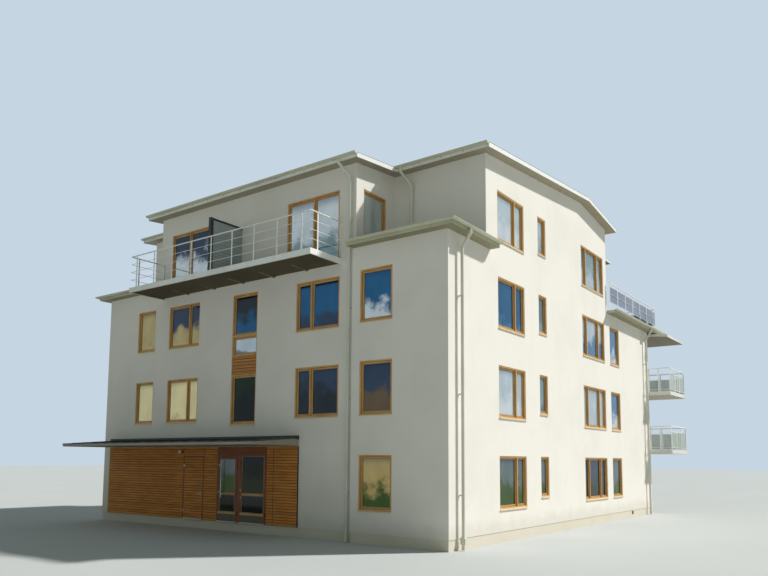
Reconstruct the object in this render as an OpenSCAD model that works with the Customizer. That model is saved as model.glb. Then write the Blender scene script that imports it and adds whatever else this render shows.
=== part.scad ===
// Apartment block: three rendered storeys with a set-back fourth storey, a timber-clad entrance
// under a thin canopy, a long front balcony, a roof terrace and balconies behind.
// Millimetres. The front faces -Y, the long sunny gable side faces +X, and +Z is up.
// The origin is the middle of the main walls' rectangle, at the lowest ground point.

/* [House] */
// Width of the main walls, left to right
house_w = 15750; // [14500:50:19500]
// Depth of the main walls, front to back
house_d = 18100; // [15600:50:22000]
// Height from one floor to the next
storey_h = 2700; // [2500:50:3300]
// Height of the plinth, which is also the ground floor's level
plinth_h = 300; // [200:10:600]
// How far the plinth is set back from the render
plinth_step = 15; // [5:1:40]
// Thickness of the outer walls
wall_t = 300; // [220:10:340]
// Thickness of a floor slab
slab_t = 250; // [150:10:320]
// How far the front corner section stands forward of the main front
front_step = 157; // [60:1:200]
// Top of the three-storey walls over the fourth floor's level
eave_rise = 200; // [120:10:300]

/* [Fourth storey] */
// Width of the set-back part on the right
right_part_w = 3290; // [3200:10:4200]
// Width of the set-back part on the left
left_part_w = 3150; // [3000:10:4000]
// How far the side parts of the fourth storey are set back from the front corner
set_back = 2170; // [1900:10:2700]
// Distance from the front corner to the fourth storey's back
top_d = 12550; // [12550:10:14500]

/* [Upper roof] */
// Slope of the roof up from the front, in degrees
front_pitch = 5.6; // [3:0.1:9]
// Slope of the roof down to the back, in degrees
rear_pitch = 7.5; // [4:0.1:12]
// Distance from the front corner to the ridge
ridge_y = 9850; // [8500:50:10400]
// Height of the roof's underside over the fourth floor, at the front corner's plane
roof_rise = 2890; // [2600:10:3300]
// Overhang of the roof past the front and back walls
roof_eave = 420; // [200:10:500]
// Overhang of the roof past the side walls
roof_verge = 350; // [150:10:450]
// Thickness of the roof
roof_t = 110; // [90:5:260]
// Thickness of a verge board
verge_t = 26; // [15:1:40]
// How far a verge board stands over the roof
verge_up = 27; // [20:1:80]
// How far a verge board hangs under the roof
verge_down = 10; // [0:1:40]

/* [Lower roofs] */
// Overhang of the lower roofs
low_eave = 320; // [200:10:450]
// How far the terrace deck stands out of the rear wall
terrace_out = 1400; // [1000:10:1500]
// Thickness of the lower roofs at their eaves
low_roof_t = 110; // [80:5:200]
// Slope of the lower roofs, in degrees
low_pitch = 2; // [1:0.5:3]
// How far the lower roofs run back past the set-back walls, outside the side walls
low_return = 260; // [100:10:400]

/* [Windows] */
// Height of a window's sill over its floor
sill_h = 650; // [500:10:1100]
// Height of a window's head over its floor
head_h = 2200; // [1900:10:2300]
// Height of the small side windows' sill over their floor
high_sill_h = 905; // [600:10:1300]
// Depth of the reveal in front of a window frame
reveal = 18; // [8:1:30]
// Depth of a window frame
frame_d = 110; // [90:5:130]
// Face width of a fixed frame
frame_f = 42; // [25:1:60]
// Face width of a sash
sash_f = 58; // [35:1:80]
// How far a sash lies behind its frame's face
sash_step = 50; // [30:1:60]
// Thickness of a glazing unit
glass_t = 24; // [12:1:40]
// How deep the glass sits in its sash
glass_seat = 10; // [5:1:15]
// Height of the sloping sill plate
sill_plate_h = 32; // [20:1:60]
// How far a sill plate stands out of the wall
sill_out = 38; // [20:1:60]
// Fall of a sill plate over its depth
sill_fall = 18; // [8:1:26]
// Depth of the drip edge at a sill plate's front
sill_drip = 14; // [6:1:30]
// Thickness of the folded sheet at sills and drips
sheet_t = 4; // [2:0.5:6]

/* [Front windows] */
// First window column from the left corner
front_1_x = 1860; // [900:10:2000]
// Width of the first column
front_1_w = 1050; // [800:10:1200]
// Second window column from the left corner
front_2_x = 3735; // [3400:10:4000]
// Width of the second column
front_2_w = 1690; // [1400:10:1900]
// Stair window from the left corner
stair_x = 7147; // [6900:10:7400]
// Width of the stair window
stair_w = 1190; // [900:10:1400]
// Fourth column's right edge from the right corner
front_4_x = 3905; // [3700:10:4200]
// Width of the fourth column
front_4_w = 1770; // [1400:10:1800]
// Fifth column's right edge from the right corner
front_5_x = 1830; // [1200:10:1900]
// Width of the fifth column
front_5_w = 1160; // [800:10:1200]
// How far the stair window's sill lies under its neighbours' sills
stair_drop = 150; // [0:10:250]
// Distance from the third floor down to the stair window's timber panel
stair_panel_down = 540; // [400:10:600]
// Height of the timber panel in the stair window
stair_panel_h = 630; // [400:10:700]
// Height of the rail between the upper stair lights over the third floor
stair_rail_up = 770; // [500:10:1300]

/* [Side windows] */
// First side window from the front corner
side_1_y = 2900; // [2700:10:3100]
// Width of the first side window
side_1_w = 1840; // [1400:10:1950]
// Narrow side window from the front corner
side_2_y = 5830; // [5400:10:6200]
// Width of the narrow side window
side_2_w = 640; // [500:10:900]
// Wide side window from the front corner
side_3_y = 9780; // [9000:10:9800]
// Width of the wide side window
side_3_w = 2400; // [1800:10:2400]
// Rear side window from the front corner
side_4_y = 12820; // [12700:10:13100]
// Width of the rear side window
side_4_w = 1145; // [900:10:1300]
// Window in the middle part's end from the main front
notch_win_x = 360; // [320:10:500]
// Width of that window
notch_win_w = 1155; // [800:5:1200]

/* [Entrance] */
// Left edge of the timber cladding from the left corner
clad_x = 420; // [200:10:900]
// Right edge of the timber cladding from the left corner
clad_end_x = 10305; // [9700:10:11200]
// Thickness of the timber cladding
clad_t = 45; // [25:1:70]
// Height of the cladding over the ground floor
clad_h = 2460; // [2400:10:2490]
// Left edge of the service door's frame from the left corner
service_x = 4880; // [4500:10:5000]
// Width of the service door's frame
service_w = 1080; // [1000:10:1150]
// Left edge of the entrance frame from the left corner
entrance_x = 6650; // [6400:10:6800]
// Width of the entrance frame
entrance_w = 2315; // [2100:5:2500]
// Share of the leaves' width that the left leaf takes
left_share = 0.448; // [0.4:0.002:0.55]
// Width of the fixed post between the entrance leaves
mullion_w = 155; // [80:5:200]
// Height of the service door over the ground floor
door_h = 2110; // [2000:10:2150]
// Height of the entrance doors over the ground floor
entrance_h = 2215; // [2100:5:2300]
// Face width of a door frame
jamb_f = 46; // [40:1:80]
// Depth of a door frame
jamb_d = 120; // [90:5:160]
// Thickness of a door leaf
leaf_t = 50; // [40:1:60]
// Gap round a door leaf
leaf_gap = 6; // [5:0.5:10]
// Face width of the left leaf's stiles
stile_left_w = 100; // [60:1:140]
// Face width of the right leaf's stiles
stile_right_w = 60; // [60:1:140]
// Height of the left leaf's top rail
top_left = 150; // [60:5:200]
// Height of the right leaf's top rail
top_right = 50; // [50:5:200]
// Height of the middle rail over the ground floor
mid_rail_z = 890; // [700:10:1100]
// Height of the middle rail
mid_rail_h = 60; // [40:1:120]
// Height of the glass's lower edge over the ground floor
kick_h = 330; // [150:10:500]
// Radius of a hinge pin
pin_r = 7; // [5:0.5:10]
// Gap round a hinge pin
pin_gap = 0.3; // [0.2:0.1:0.6]
// Length of a hinge knuckle
knuckle_l = 80; // [60:5:120]
// Wall of a hinge knuckle
knuckle_t = 6; // [4:0.5:8]
// Thickness of a hinge bracket
bracket_t = 14; // [10:1:20]
// Length of a pull bar
handle_l = 1250; // [400:10:1300]
// Height of a pull bar's lower end over the ground floor
handle_z = 790; // [600:10:900]
// How far a pull bar stands to the side of its seats on the stile
handle_side = 150; // [0:5:160]
// Height of the pull knob on the right leaf over the ground floor
knob_z = 1050; // [900:10:1200]
// Radius of the pull knob
knob_r = 24; // [18:1:32]
// Radius of a pull bar
handle_r = 12; // [8:0.5:16]
// How far a pull bar stands out of its leaf
handle_out = 60; // [45:1:80]
// Height of a threshold
threshold_h = 25; // [15:1:40]
// Width of the stop behind a leaf
stop_w = 18; // [10:1:30]
// Height of the lower hinges over the ground floor
hinge_low = 250; // [150:10:400]
// Distance from a door's head down to its upper hinge
hinge_down = 330; // [250:10:500]
// Gap between a hinge pin and its leaf's face
pin_stand = 2; // [1:0.5:4]
// Length of a hinge strap
strap_w = 40; // [30:1:60]
// Distance from the service door's free edge to its lever's spindle
lever_in = 80; // [60:5:120]
// Length of the lever
lever_l = 122; // [90:1:140]
// Thickness of the lever
lever_t = 20; // [12:1:24]
// Radius of the lever's rose
rose_r = 27; // [20:1:35]
// Thickness of the lever's rose
rose_t = 8; // [5:1:12]

/* [Canopy] */
// How far the canopy stands out of the wall
canopy_d = 1980; // [1400:10:2400]
// Thickness of the canopy at its front edge
canopy_t = 110; // [80:5:200]
// How much thicker the canopy is at the wall
canopy_rise = 145; // [60:5:200]
// Height of the canopy's underside over the ground floor
canopy_z = 2475; // [2475:5:2550]
// How far the canopy reaches past the cladding's left end
canopy_over = 40; // [0:5:200]

/* [Front balcony] */
// Gap from the middle part's left end to the balcony
balcony_in_l = 170; // [50:10:400]
// Gap from the balcony to the middle part's right end
balcony_in_r = 495; // [300:10:700]
// How far the balcony stands out of the main front
balcony_d = 1470; // [1200:10:1800]
// Thickness of the balcony's edge
balcony_t = 170; // [120:5:250]
// Thickness of the balcony's deck
deck_t = 60; // [40:5:80]
// Width of the balcony's edge beams
edge_w = 60; // [40:5:90]
// Number of the balcony's cross beams
beam_count = 5; // [3:1:7]
// Width of a cross beam
beam_w = 100; // [60:5:140]
// Depth of a cross beam at its outer end
beam_tip = 30; // [20:5:60]
// How far a cross beam ends over the lower side of the balcony's edge
beam_up = 10; // [0:5:30]
// Height of the railings over their deck
rail_h = 1150; // [1000:10:1250]
// Number of front railing bays
rail_bays = 8; // [6:1:10]
// Face width of a railing post
post_w = 45; // [30:1:60]
// Depth of a railing post
post_d = 12; // [8:1:20]
// Heights of the front railing's bars over the deck
front_bars = [290, 570, 850]; // [80:10:1050]
// Radius of a bar
bar_r = 8; // [5:1:12]
// Radius of the top rail
top_rail_r = 21; // [15:1:30]
// Thickness of a post's foot plate
foot_t = 8; // [5:1:12]
// Length of a post's foot plate
foot_w = 70; // [50:5:75]
// Distance from a railing's corner to the nearest posts
corner_gap = 330; // [150:10:500]
// Distance from a balcony's edge to its railing
rail_in = 40; // [35:1:90]
// Height of the privacy screen over its deck
screen_h = 1800; // [1500:10:2000]
// Place of the privacy screen from the balcony's left end
screen_x = 4160; // [4000:10:4700]
// Side of the screen's post
screen_post = 110; // [60:2:120]
// Side of the screen's top rail
screen_rail = 56; // [40:2:60]
// Number of slats in the privacy screen
slat_count = 15; // [8:1:20]
// Thickness of a slat
slat_t = 14; // [8:1:20]
// Share of the slats' spacing that is slat
slat_share = 0.92; // [0.5:0.02:0.96]
// Left balcony door from the left corner
door_l_x = 3750; // [3500:10:3900]
// Width of the left balcony door
door_l_w = 2070; // [1600:10:2200]
// Right balcony door's right edge from the right corner
door_r_x = 3940; // [3860:10:4300]
// Width of the right balcony door
door_r_w = 2190; // [1600:10:2300]

/* [Rear] */
// How far the rear balconies stand out past the side walls
rear_side = 970; // [600:10:1200]
// How far the rear balconies stand out of the rear wall
rear_d = 2750; // [1500:10:2900]
// Width of a rear balcony
rear_w = 4500; // [3600:10:5200]
// Thickness of a rear balcony slab
rear_t = 170; // [120:5:250]
// How far a rear balcony's deck lies under its floor
rear_drop = 90; // [20:5:150]
// Height of the rear railings over their deck
rear_rail_h = 1100; // [1000:10:1250]
// Height of the terrace railing over its roof
terrace_rail_h = 1170; // [800:10:1200]
// How far the terrace railing stands out past the side walls
terrace_rail_out = 130; // [0:10:200]
// Distance from the terrace's rear edge to its railing
terrace_rail_back = 440; // [100:10:600]
// How far the rear balconies' roofs stand out past the side walls
rear_roof_side = 820; // [600:10:1000]
// How far the rear balconies' roofs stand out of the rear wall
rear_roof_d = 3200; // [2900:10:3400]
// Thickness of the rear balconies' roofs
rear_roof_t = 110; // [60:5:150]
// Distance from the fourth floor down to the balcony roofs' top
rear_roof_drop = 90; // [60:5:200]
// How far the roof over the terrace doors stands out
shade_d = 650; // [300:10:900]
// Thickness of the roof over the terrace doors
shade_t = 90; // [50:5:120]
// Gap between the terrace doors' heads and the roof over them
shade_gap = 12; // [5:1:40]
// How far that roof reaches past the terrace doors
shade_over = 300; // [100:10:600]
// Cut at the wall end of the balcony roofs' outer edges
flare = 500; // [200:10:600]
// Width of the wall between a rear balcony and the windows beside it
rear_pier_w = 700; // [400:10:900]
// Rear balcony door from the corner
rear_door_x = 1000; // [600:10:1200]
// Width of a rear balcony door
rear_door_w = 1900; // [1600:10:2200]
// Terrace door from the corner
terrace_door_x = 2600; // [2000:10:3200]
// Heights of the terrace railing's bars over its roof
terrace_bars = [370, 700, 1010]; // [80:10:1080]
// Heights of the rear railings' bars over their deck
rear_bars = [95, 820]; // [80:10:1000]
// Number of railing bays along the terrace's side
terrace_side_bays = 6; // [4:1:8]
// Number of railing bays along the terrace's back
terrace_bays = 14; // [10:1:18]

/* [Gutters and pipes] */
// Radius of a half-round gutter
gutter_r = 62; // [45:1:80]
// Wall of a gutter
gutter_t = 5; // [3:0.5:8]
// Height of a gutter's rim over the edge of its roof
gutter_up = 30; // [10:1:60]
// Thickness of a gutter bracket
clip_t = 5; // [3:0.5:8]
// Width of a gutter bracket
clip_w = 30; // [20:1:40]
// Largest distance between two brackets
clip_gap = 900; // [600:50:1200]
// Radius of a downpipe
pipe_r = 46; // [35:1:55]
// Gap from the wall to a downpipe
pipe_off = 72; // [40:2:120]
// Height of a swan neck
neck_h = 440; // [380:10:600]
// How far a downpipe's sleeves stand out round it
collar = 4; // [2:0.5:8]
// Gap between an eave's underside and the first bend
bend_gap = 6; // [2:1:20]
// Length of the outlet under a gutter
spigot_l = 60; // [40:5:100]
// How far an outlet lies to the side of its downpipe
outlet_in = 150; // [0:10:300]
// Gap from the ground to a downpipe's shoe
shoe_gap = 20; // [10:5:100]
// Gap from a lower roof to a downpipe's shoe
roof_gap = 15; // [5:1:50]
// Height of the first clamp over a downpipe's shoe
clamp_first = 1400; // [600:50:1800]
// Height of a pipe clamp
clamp_h = 36; // [20:1:50]
// Place of the corner downpipe behind the front corner
corner_pipe_y = 555; // [400:5:800]
// Place of the rear downpipe in front of the rear corner
rear_pipe_y = 660; // [500:10:1000]
// Place of the front downpipe left of the projecting corner section
front_pipe_x = 160; // [120:5:250]
// Place of the notch downpipe beside the middle part
notch_pipe_x = 700; // [500:10:900]
// Place of the upper rear downpipes from the corners
top_pipe_x = 6400; // [5600:10:6600]

/* [Hidden] */
e = 1;
// Play between a wall's top and the roof laid on it
seat = 0.2;
x_l = -house_w / 2;
x_r = house_w / 2;
y_f = -house_d / 2;
y_b = house_d / 2;
y_m = y_f + front_step;
function floor_z(n) = plinth_h + storey_h * (n - 1);
z_4 = floor_z(4);
z_eave = z_4 + eave_rise;
// The terrace deck lies on the fourth floor's level
z_deck = z_4 + low_roof_t;
mid_l = x_l + left_part_w;
mid_r = x_r - right_part_w;
y_top = y_f + top_d;
// Underside of the upper roof at a distance y behind the front corner
function roof_z(y) = z_4 + roof_rise + (y <= ridge_y ? y * tan(front_pitch)
    : ridge_y * tan(front_pitch) - (y - ridge_y) * tan(rear_pitch));
// Points of a line that lies dz over the roof's underside, from y0 back to y1
function roof_line(y0, y1, dz) = concat([[y0, roof_z(y0) + dz]],
    y0 < ridge_y && ridge_y < y1 ? [[ridge_y, roof_z(ridge_y) + dz]] : [], [[y1, roof_z(y1) + dz]]);

// A block between two corners
module block(a, b) {
    translate(a) cube([b[0] - a[0], b[1] - a[1], b[2] - a[2]]);
}

// Places children on a face of the house, seen from outside: x runs to the right along the
// face from its left corner, y runs inwards and z is up.
module on_front() { translate([x_l, y_f, 0]) children(); }
module on_right() { translate([x_r, y_f, 0]) rotate([0, 0, 90]) children(); }
module on_rear() { translate([x_r, y_b, 0]) rotate([0, 0, 180]) children(); }
module on_left() { translate([x_l, y_b, 0]) rotate([0, 0, -90]) children(); }

// Window columns as [x from the face's left corner, width, sill over floor, shares of the lights]
one = [1];
wide_left = [0.67, 0.33];
wide_right = [0.34, 0.66];
three = [0.2, 0.53, 0.27];
front_main = [
    [front_1_x, front_1_w, sill_h, one],
    [front_2_x, front_2_w, sill_h, wide_left],
    [house_w - front_4_x - front_4_w, front_4_w, sill_h, wide_right]];
front_corner = [[house_w - front_5_x - front_5_w, front_5_w, sill_h, one]];
side_upper = [
    [side_1_y, side_1_w, sill_h, wide_left],
    [side_2_y, side_2_w, high_sill_h, one],
    [side_3_y, side_3_w, sill_h, three]];
side_low = concat(side_upper, [[side_4_y, side_4_w, sill_h, one]]);
function reversed(s) = [for (i = [len(s) - 1:-1:0]) s[i]];
// The same columns seen from the other side of the house
function mirrored(cols) = [for (c = cols) [house_d - c[0] - c[1], c[1], c[2], reversed(c[3])]];
rear_pair_x = rear_w - rear_side + rear_pier_w;
rear_cols = [
    [rear_pair_x, front_2_w, sill_h, wide_left],
    [house_w - rear_pair_x - front_2_w, front_2_w, sill_h, wide_right],
    [(house_w - stair_w) / 2, stair_w, sill_h, one]];
rear_doors = [
    [rear_door_x, rear_door_w, -rear_drop, wide_left],
    [house_w - rear_door_x - rear_door_w, rear_door_w, -rear_drop, wide_right]];
terrace_doors = [
    [terrace_door_x, door_l_w, low_roof_t, wide_left],
    [house_w - terrace_door_x - door_l_w, door_l_w, low_roof_t, wide_right]];
halves = [0.48, 0.52];
balcony_doors = [
    [door_l_x, door_l_w, 0, halves],
    [house_w - door_r_x - door_r_w, door_r_w, 0, reversed(halves)]];
// Stair window: its sill, the panel in the floor zone, and the rail between its upper lights
stair_low_z = floor_z(2) + sill_h - stair_drop;
stair_top_z = floor_z(3) + head_h;
stair_panel_z = floor_z(3) - stair_panel_down;
stair_rail_z = floor_z(3) + stair_rail_up;
stair_lights = [[stair_low_z, stair_panel_z], [stair_panel_z + stair_panel_h, stair_rail_z],
    [stair_rail_z, stair_top_z]];

// Start and width of each light between the frame members
function light_w(w, s, i) = (w - frame_f * (len(s) + 1)) * s[i];
function light_x(w, s, i) = i == 0 ? frame_f : light_x(w, s, i - 1) + light_w(w, s, i - 1) + frame_f;

// A timber frame with its sashes, outer face at y = 0
module window_frame(w, h, shares) {
    difference() {
        cube([w, frame_d, h]);
        for (i = [0:len(shares) - 1]) {
            x = light_x(w, shares, i);
            lw = light_w(w, shares, i);
            translate([x, -e, frame_f]) cube([lw, sash_step + e, h - 2 * frame_f]);
            translate([x + sash_f, -e, frame_f + sash_f])
                cube([lw - 2 * sash_f, frame_d + 2 * e, h - 2 * (frame_f + sash_f)]);
            glass_pane(w, h, shares, i);
        }
    }
}
module glass_pane(w, h, shares, i) {
    in = sash_f - glass_seat;
    translate([light_x(w, shares, i) + in, (sash_step + frame_d - glass_t) / 2, frame_f + in])
        cube([light_w(w, shares, i) - 2 * in, glass_t, h - 2 * (frame_f + in)]);
}
module window_glass(w, h, shares) {
    for (i = [0:len(shares) - 1]) glass_pane(w, h, shares, i);
}

// The same columns in each listed storey; what is "hole", "door_hole", "frame", "glass" or "sill"
module columns(cols, storeys, what) {
    for (c = cols, n = storeys)
        translate([c[0], 0, floor_z(n) + c[2]])
            window_part(c[1], head_h - c[2], c[3], what);
}
module window_part(w, h, shares, what) {
    if (what == "hole") translate([0, -e, -sill_plate_h]) cube([w, wall_t + 2 * e, h + sill_plate_h]);
    if (what == "door_hole") translate([0, -e, 0]) cube([w, wall_t + 2 * e, h]);
    if (what == "frame") translate([0, reveal, 0]) window_frame(w, h, shares);
    if (what == "glass") translate([0, reveal, 0]) window_glass(w, h, shares);
    if (what == "sill") sill_plate(w);
}
// Sloping metal plate under a window, from behind the frame's face to outside the wall
module sill_plate(w) {
    back = reveal + frame_d;
    translate([w, 0, 0]) rotate([90, 0, -90]) linear_extrude(w)
        polygon([[-back, -sill_plate_h], [-back, 0], [-reveal, 0], [sill_out, -sill_fall],
            [sill_out, -sill_plate_h - sill_drip], [sill_out - sheet_t, -sill_plate_h - sill_drip],
            [sill_out - sheet_t, -sill_plate_h], [0, -sill_plate_h]]);
}
// Stair window: three lights one over the other, with a timber panel in the floor zone
module stair_window(what) {
    translate([stair_x, 0, 0]) {
        if (what == "hole")
            translate([0, -e, stair_low_z - sill_plate_h])
                cube([stair_w, wall_t + 2 * e, stair_top_z - stair_low_z + sill_plate_h]);
        if (what == "frame" || what == "glass")
            for (l = stair_lights)
                translate([0, 0, l[0]]) window_part(stair_w, l[1] - l[0], one, what);
        if (what == "sill") translate([0, 0, stair_low_z]) sill_plate(stair_w);
    }
}

// Foundations and floors
module plinth() {
    color("gray") difference() {
        block([x_l + plinth_step, y_m + plinth_step, 0], [x_r - plinth_step, y_b - plinth_step, plinth_h]);
        block([x_l + wall_t, y_m + wall_t, -e], [x_r - wall_t, y_b - wall_t, plinth_h + e]);
    }
    color("gray") block([mid_r + plinth_step, y_f + plinth_step, 0],
        [x_r - plinth_step, y_m + plinth_step, plinth_h]);
}
module floor_slab(n) {
    color("silver") block([x_l + wall_t, y_m + wall_t, floor_z(n) - slab_t],
        [x_r - wall_t, y_b - wall_t, floor_z(n)]);
}
module ground_floor() {
    color("silver") block([x_l + wall_t, y_m + wall_t, 0], [x_r - wall_t, y_b - wall_t, plinth_h]);
}
module second_floor() { floor_slab(2); }
module third_floor() { floor_slab(3); }
module fourth_floor() { floor_slab(4); }

// Walls of the three lower storeys
module front_wall() {
    color("ivory") on_front() difference() {
        block([0, front_step, floor_z(2)], [house_w - right_part_w, front_step + wall_t, z_eave]);
        translate([0, front_step, 0]) {
            columns(front_main, [2, 3], "hole");
            stair_window("hole");
            columns(balcony_doors, [4], "door_hole");
        }
    }
}
module entrance_walls() {
    y0 = front_step;
    y1 = front_step + wall_t;
    color("ivory") on_front() {
        block([0, y0, plinth_h], [service_x, y1, floor_z(2)]);
        block([service_x + service_w, y0, plinth_h], [entrance_x, y1, floor_z(2)]);
        block([entrance_x + entrance_w, y0, plinth_h], [house_w - right_part_w, y1, floor_z(2)]);
    }
}
lintel_z = plinth_h + door_h + jamb_f;
entrance_lintel_z = plinth_h + entrance_h + jamb_f;
module door_lintel() {
    color("ivory") on_front() {
        block([service_x, front_step, lintel_z], [service_x + service_w, front_step + wall_t, floor_z(2)]);
        block([entrance_x, front_step, entrance_lintel_z],
            [entrance_x + entrance_w, front_step + wall_t, floor_z(2)]);
    }
}
module front_corner_wall() {
    color("ivory") on_front() difference() {
        block([house_w - right_part_w, 0, plinth_h], [house_w, front_step + wall_t, z_eave]);
        columns(front_corner, [1, 2, 3], "hole");
        // the wall is thicker here, so its openings run on through the step
        translate([0, front_step, 0]) columns(front_corner, [1, 2, 3], "hole");
    }
}
// A side wall with its four columns of windows, less the children: its front end, which belongs to
// the front wall, and its top beside the terrace
module side_wall(cols) {
    difference() {
        block([0, 0, plinth_h], [house_d, wall_t, z_eave]);
        columns(cols, [1, 2, 3], "hole");
        children();
    }
}
module right_wall() {
    color("ivory") on_right() side_wall(side_low) {
        block([-e, -e, 0], [front_step + wall_t, wall_t + e, z_eave + e]);
        block([top_d, -e, z_4], [house_d + e, wall_t + e, z_eave + e]);
    }
}
module left_wall() {
    color("ivory") on_left() side_wall(mirrored(side_low)) {
        block([house_d - front_step - wall_t, -e, 0], [house_d + e, wall_t + e, z_eave + e]);
        block([-e, -e, z_4], [house_d - top_d, wall_t + e, z_eave + e]);
    }
}
module rear_wall() {
    color("ivory") on_rear() difference() {
        block([wall_t, 0, plinth_h], [house_w - wall_t, wall_t, z_4]);
        columns(rear_cols, [1, 2, 3], "hole");
        columns(rear_doors, [2, 3], "door_hole");
    }
}

// Walls of the fourth storey, cut to the roof's underside
module under_roof(y0, y1, z0) {
    rotate([90, 0, 90]) linear_extrude(house_w)
        polygon(concat([[y1, z0], [y0, z0]], roof_line(y0, y1, -seat)));
}
module upper_wall(x0, x1, y0, y1, z0 = z_eave) {
    intersection() {
        on_front() under_roof(y0, y1, z0);
        block([x0, y_f + y0, z0], [x1, y_f + y1, z0 + storey_h + 2 * roof_rise]);
    }
}
module upper_front_wall() {
    color("ivory") difference() {
        upper_wall(mid_l, mid_r, front_step, front_step + wall_t);
        on_front() translate([0, front_step, 0]) columns(balcony_doors, [4], "door_hole");
    }
}
module notch_walls() {
    for (s = [0, 1])
        color("ivory") difference() {
            upper_wall(s == 0 ? mid_l : mid_r - wall_t, s == 0 ? mid_l + wall_t : mid_r,
                front_step + wall_t, set_back + wall_t);
            notch_window(s, "hole");
        }
}
// Window of a notch wall: s is 0 on the left and 1 on the right
module notch_window(s, what) {
    if (s == 1) translate([mid_r, y_m, floor_z(4) + sill_h]) rotate([0, 0, 90])
        translate([notch_win_x, 0, 0]) window_part(notch_win_w, head_h - sill_h, one, what);
    if (s == 0) translate([mid_l, y_m + notch_win_x + notch_win_w, floor_z(4) + sill_h])
        rotate([0, 0, -90]) window_part(notch_win_w, head_h - sill_h, one, what);
}
module set_back_walls() {
    color("ivory") upper_wall(x_l + wall_t, mid_l, set_back, set_back + wall_t);
    color("ivory") upper_wall(mid_r, x_r - wall_t, set_back, set_back + wall_t);
}
module upper_right_wall() {
    color("ivory") difference() {
        upper_wall(x_r - wall_t, x_r, set_back, top_d);
        on_right() columns(side_upper, [4], "hole");
    }
}
module upper_left_wall() {
    color("ivory") difference() {
        upper_wall(x_l, x_l + wall_t, set_back, top_d);
        on_left() columns(mirrored(side_upper), [4], "hole");
    }
}
module on_top_rear() { translate([x_r, y_top, 0]) rotate([0, 0, 180]) children(); }
module upper_rear_wall() {
    color("ivory") difference() {
        upper_wall(x_l + wall_t, x_r - wall_t, top_d - wall_t, top_d, z_4);
        on_top_rear() columns(terrace_doors, [4], "door_hole");
    }
}

// Windows of each side
module front_window_parts(what) {
    on_front() {
        translate([0, front_step, 0]) {
            columns(front_main, [2, 3], what);
            stair_window(what);
            if (what != "sill") columns(balcony_doors, [4], what);
        }
        columns(front_corner, [1, 2, 3], what);
    }
    for (s = [0, 1]) notch_window(s, what);
}
module right_window_parts(what) {
    on_right() {
        columns(side_low, [1, 2, 3], what);
        columns(side_upper, [4], what);
    }
}
module left_window_parts(what) {
    on_left() {
        columns(mirrored(side_low), [1, 2, 3], what);
        columns(mirrored(side_upper), [4], what);
    }
}
module rear_window_parts(what) {
    on_rear() {
        columns(rear_cols, [1, 2, 3], what);
        if (what != "sill") columns(rear_doors, [2, 3], what);
    }
    if (what != "sill") on_top_rear() columns(terrace_doors, [4], what);
}
module front_window_frames() { color("peru") front_window_parts("frame"); }
module right_window_frames() { color("peru") right_window_parts("frame"); }
module left_window_frames() { color("peru") left_window_parts("frame"); }
module rear_window_frames() { color("peru") rear_window_parts("frame"); }
module front_glass() { color("steelblue") front_window_parts("glass"); }
module right_glass() { color("steelblue") right_window_parts("glass"); }
module left_glass() { color("steelblue") left_window_parts("glass"); }
module rear_glass() { color("steelblue") rear_window_parts("glass"); }
module window_sills() {
    color("lightgray") {
        front_window_parts("sill");
        right_window_parts("sill");
        left_window_parts("sill");
        rear_window_parts("sill");
    }
}
module stair_panel() {
    color("peru") on_front() translate([stair_x, front_step + reveal, stair_panel_z])
        cube([stair_w, frame_d, stair_panel_h]);
}

// Timber cladding, door frames, doors and canopy
clad_y = front_step - clad_t;
module cladding_piece(x0, x1, z0) {
    block([x0, clad_y, z0], [x1, front_step, plinth_h + clad_h]);
}
module entrance_cladding() {
    color("saddlebrown") on_front() {
        cladding_piece(clad_x, service_x, plinth_h);
        cladding_piece(service_x + service_w, entrance_x, plinth_h);
        cladding_piece(entrance_x + entrance_w, clad_end_x, plinth_h);
    }
}
module cladding_header() {
    color("saddlebrown") on_front() {
        cladding_piece(service_x, service_x + service_w, lintel_z);
        cladding_piece(entrance_x, entrance_x + entrance_w, entrance_lintel_z);
    }
}
left_leaf_x = entrance_x + jamb_f;
leaves_w = entrance_w - 2 * jamb_f - mullion_w;
left_leaf_w = leaves_w * left_share;
right_leaf_x = left_leaf_x + left_leaf_w + mullion_w;
right_leaf_w = leaves_w - left_leaf_w;
service_leaf_x = service_x + jamb_f;
service_leaf_w = service_w - 2 * jamb_f;
// Hinge heights over the ground floor, and how far the pins stand out of the leaves
hinge_z = [hinge_low, door_h - hinge_down];
hinge_out = pin_r * 2 + pin_stand;
knuckle_r = pin_r + knuckle_t;
pin_over = bracket_t + knuckle_t;
// A door frame with its threshold, open towards the outside, and a stop behind the leaf
module door_frame(w, h) {
    difference() {
        cube([w, jamb_d, h + jamb_f]);
        translate([jamb_f, -e, threshold_h]) cube([w - 2 * jamb_f, jamb_d + 2 * e, h - threshold_h]);
    }
    stop_y = leaf_t + leaf_gap;
    for (x = [jamb_f, w - jamb_f - stop_w])
        translate([x, stop_y, threshold_h]) cube([stop_w, jamb_d - stop_y, h - threshold_h]);
    translate([jamb_f, stop_y, h - stop_w]) cube([w - 2 * jamb_f, jamb_d - stop_y, stop_w]);
}
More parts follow.
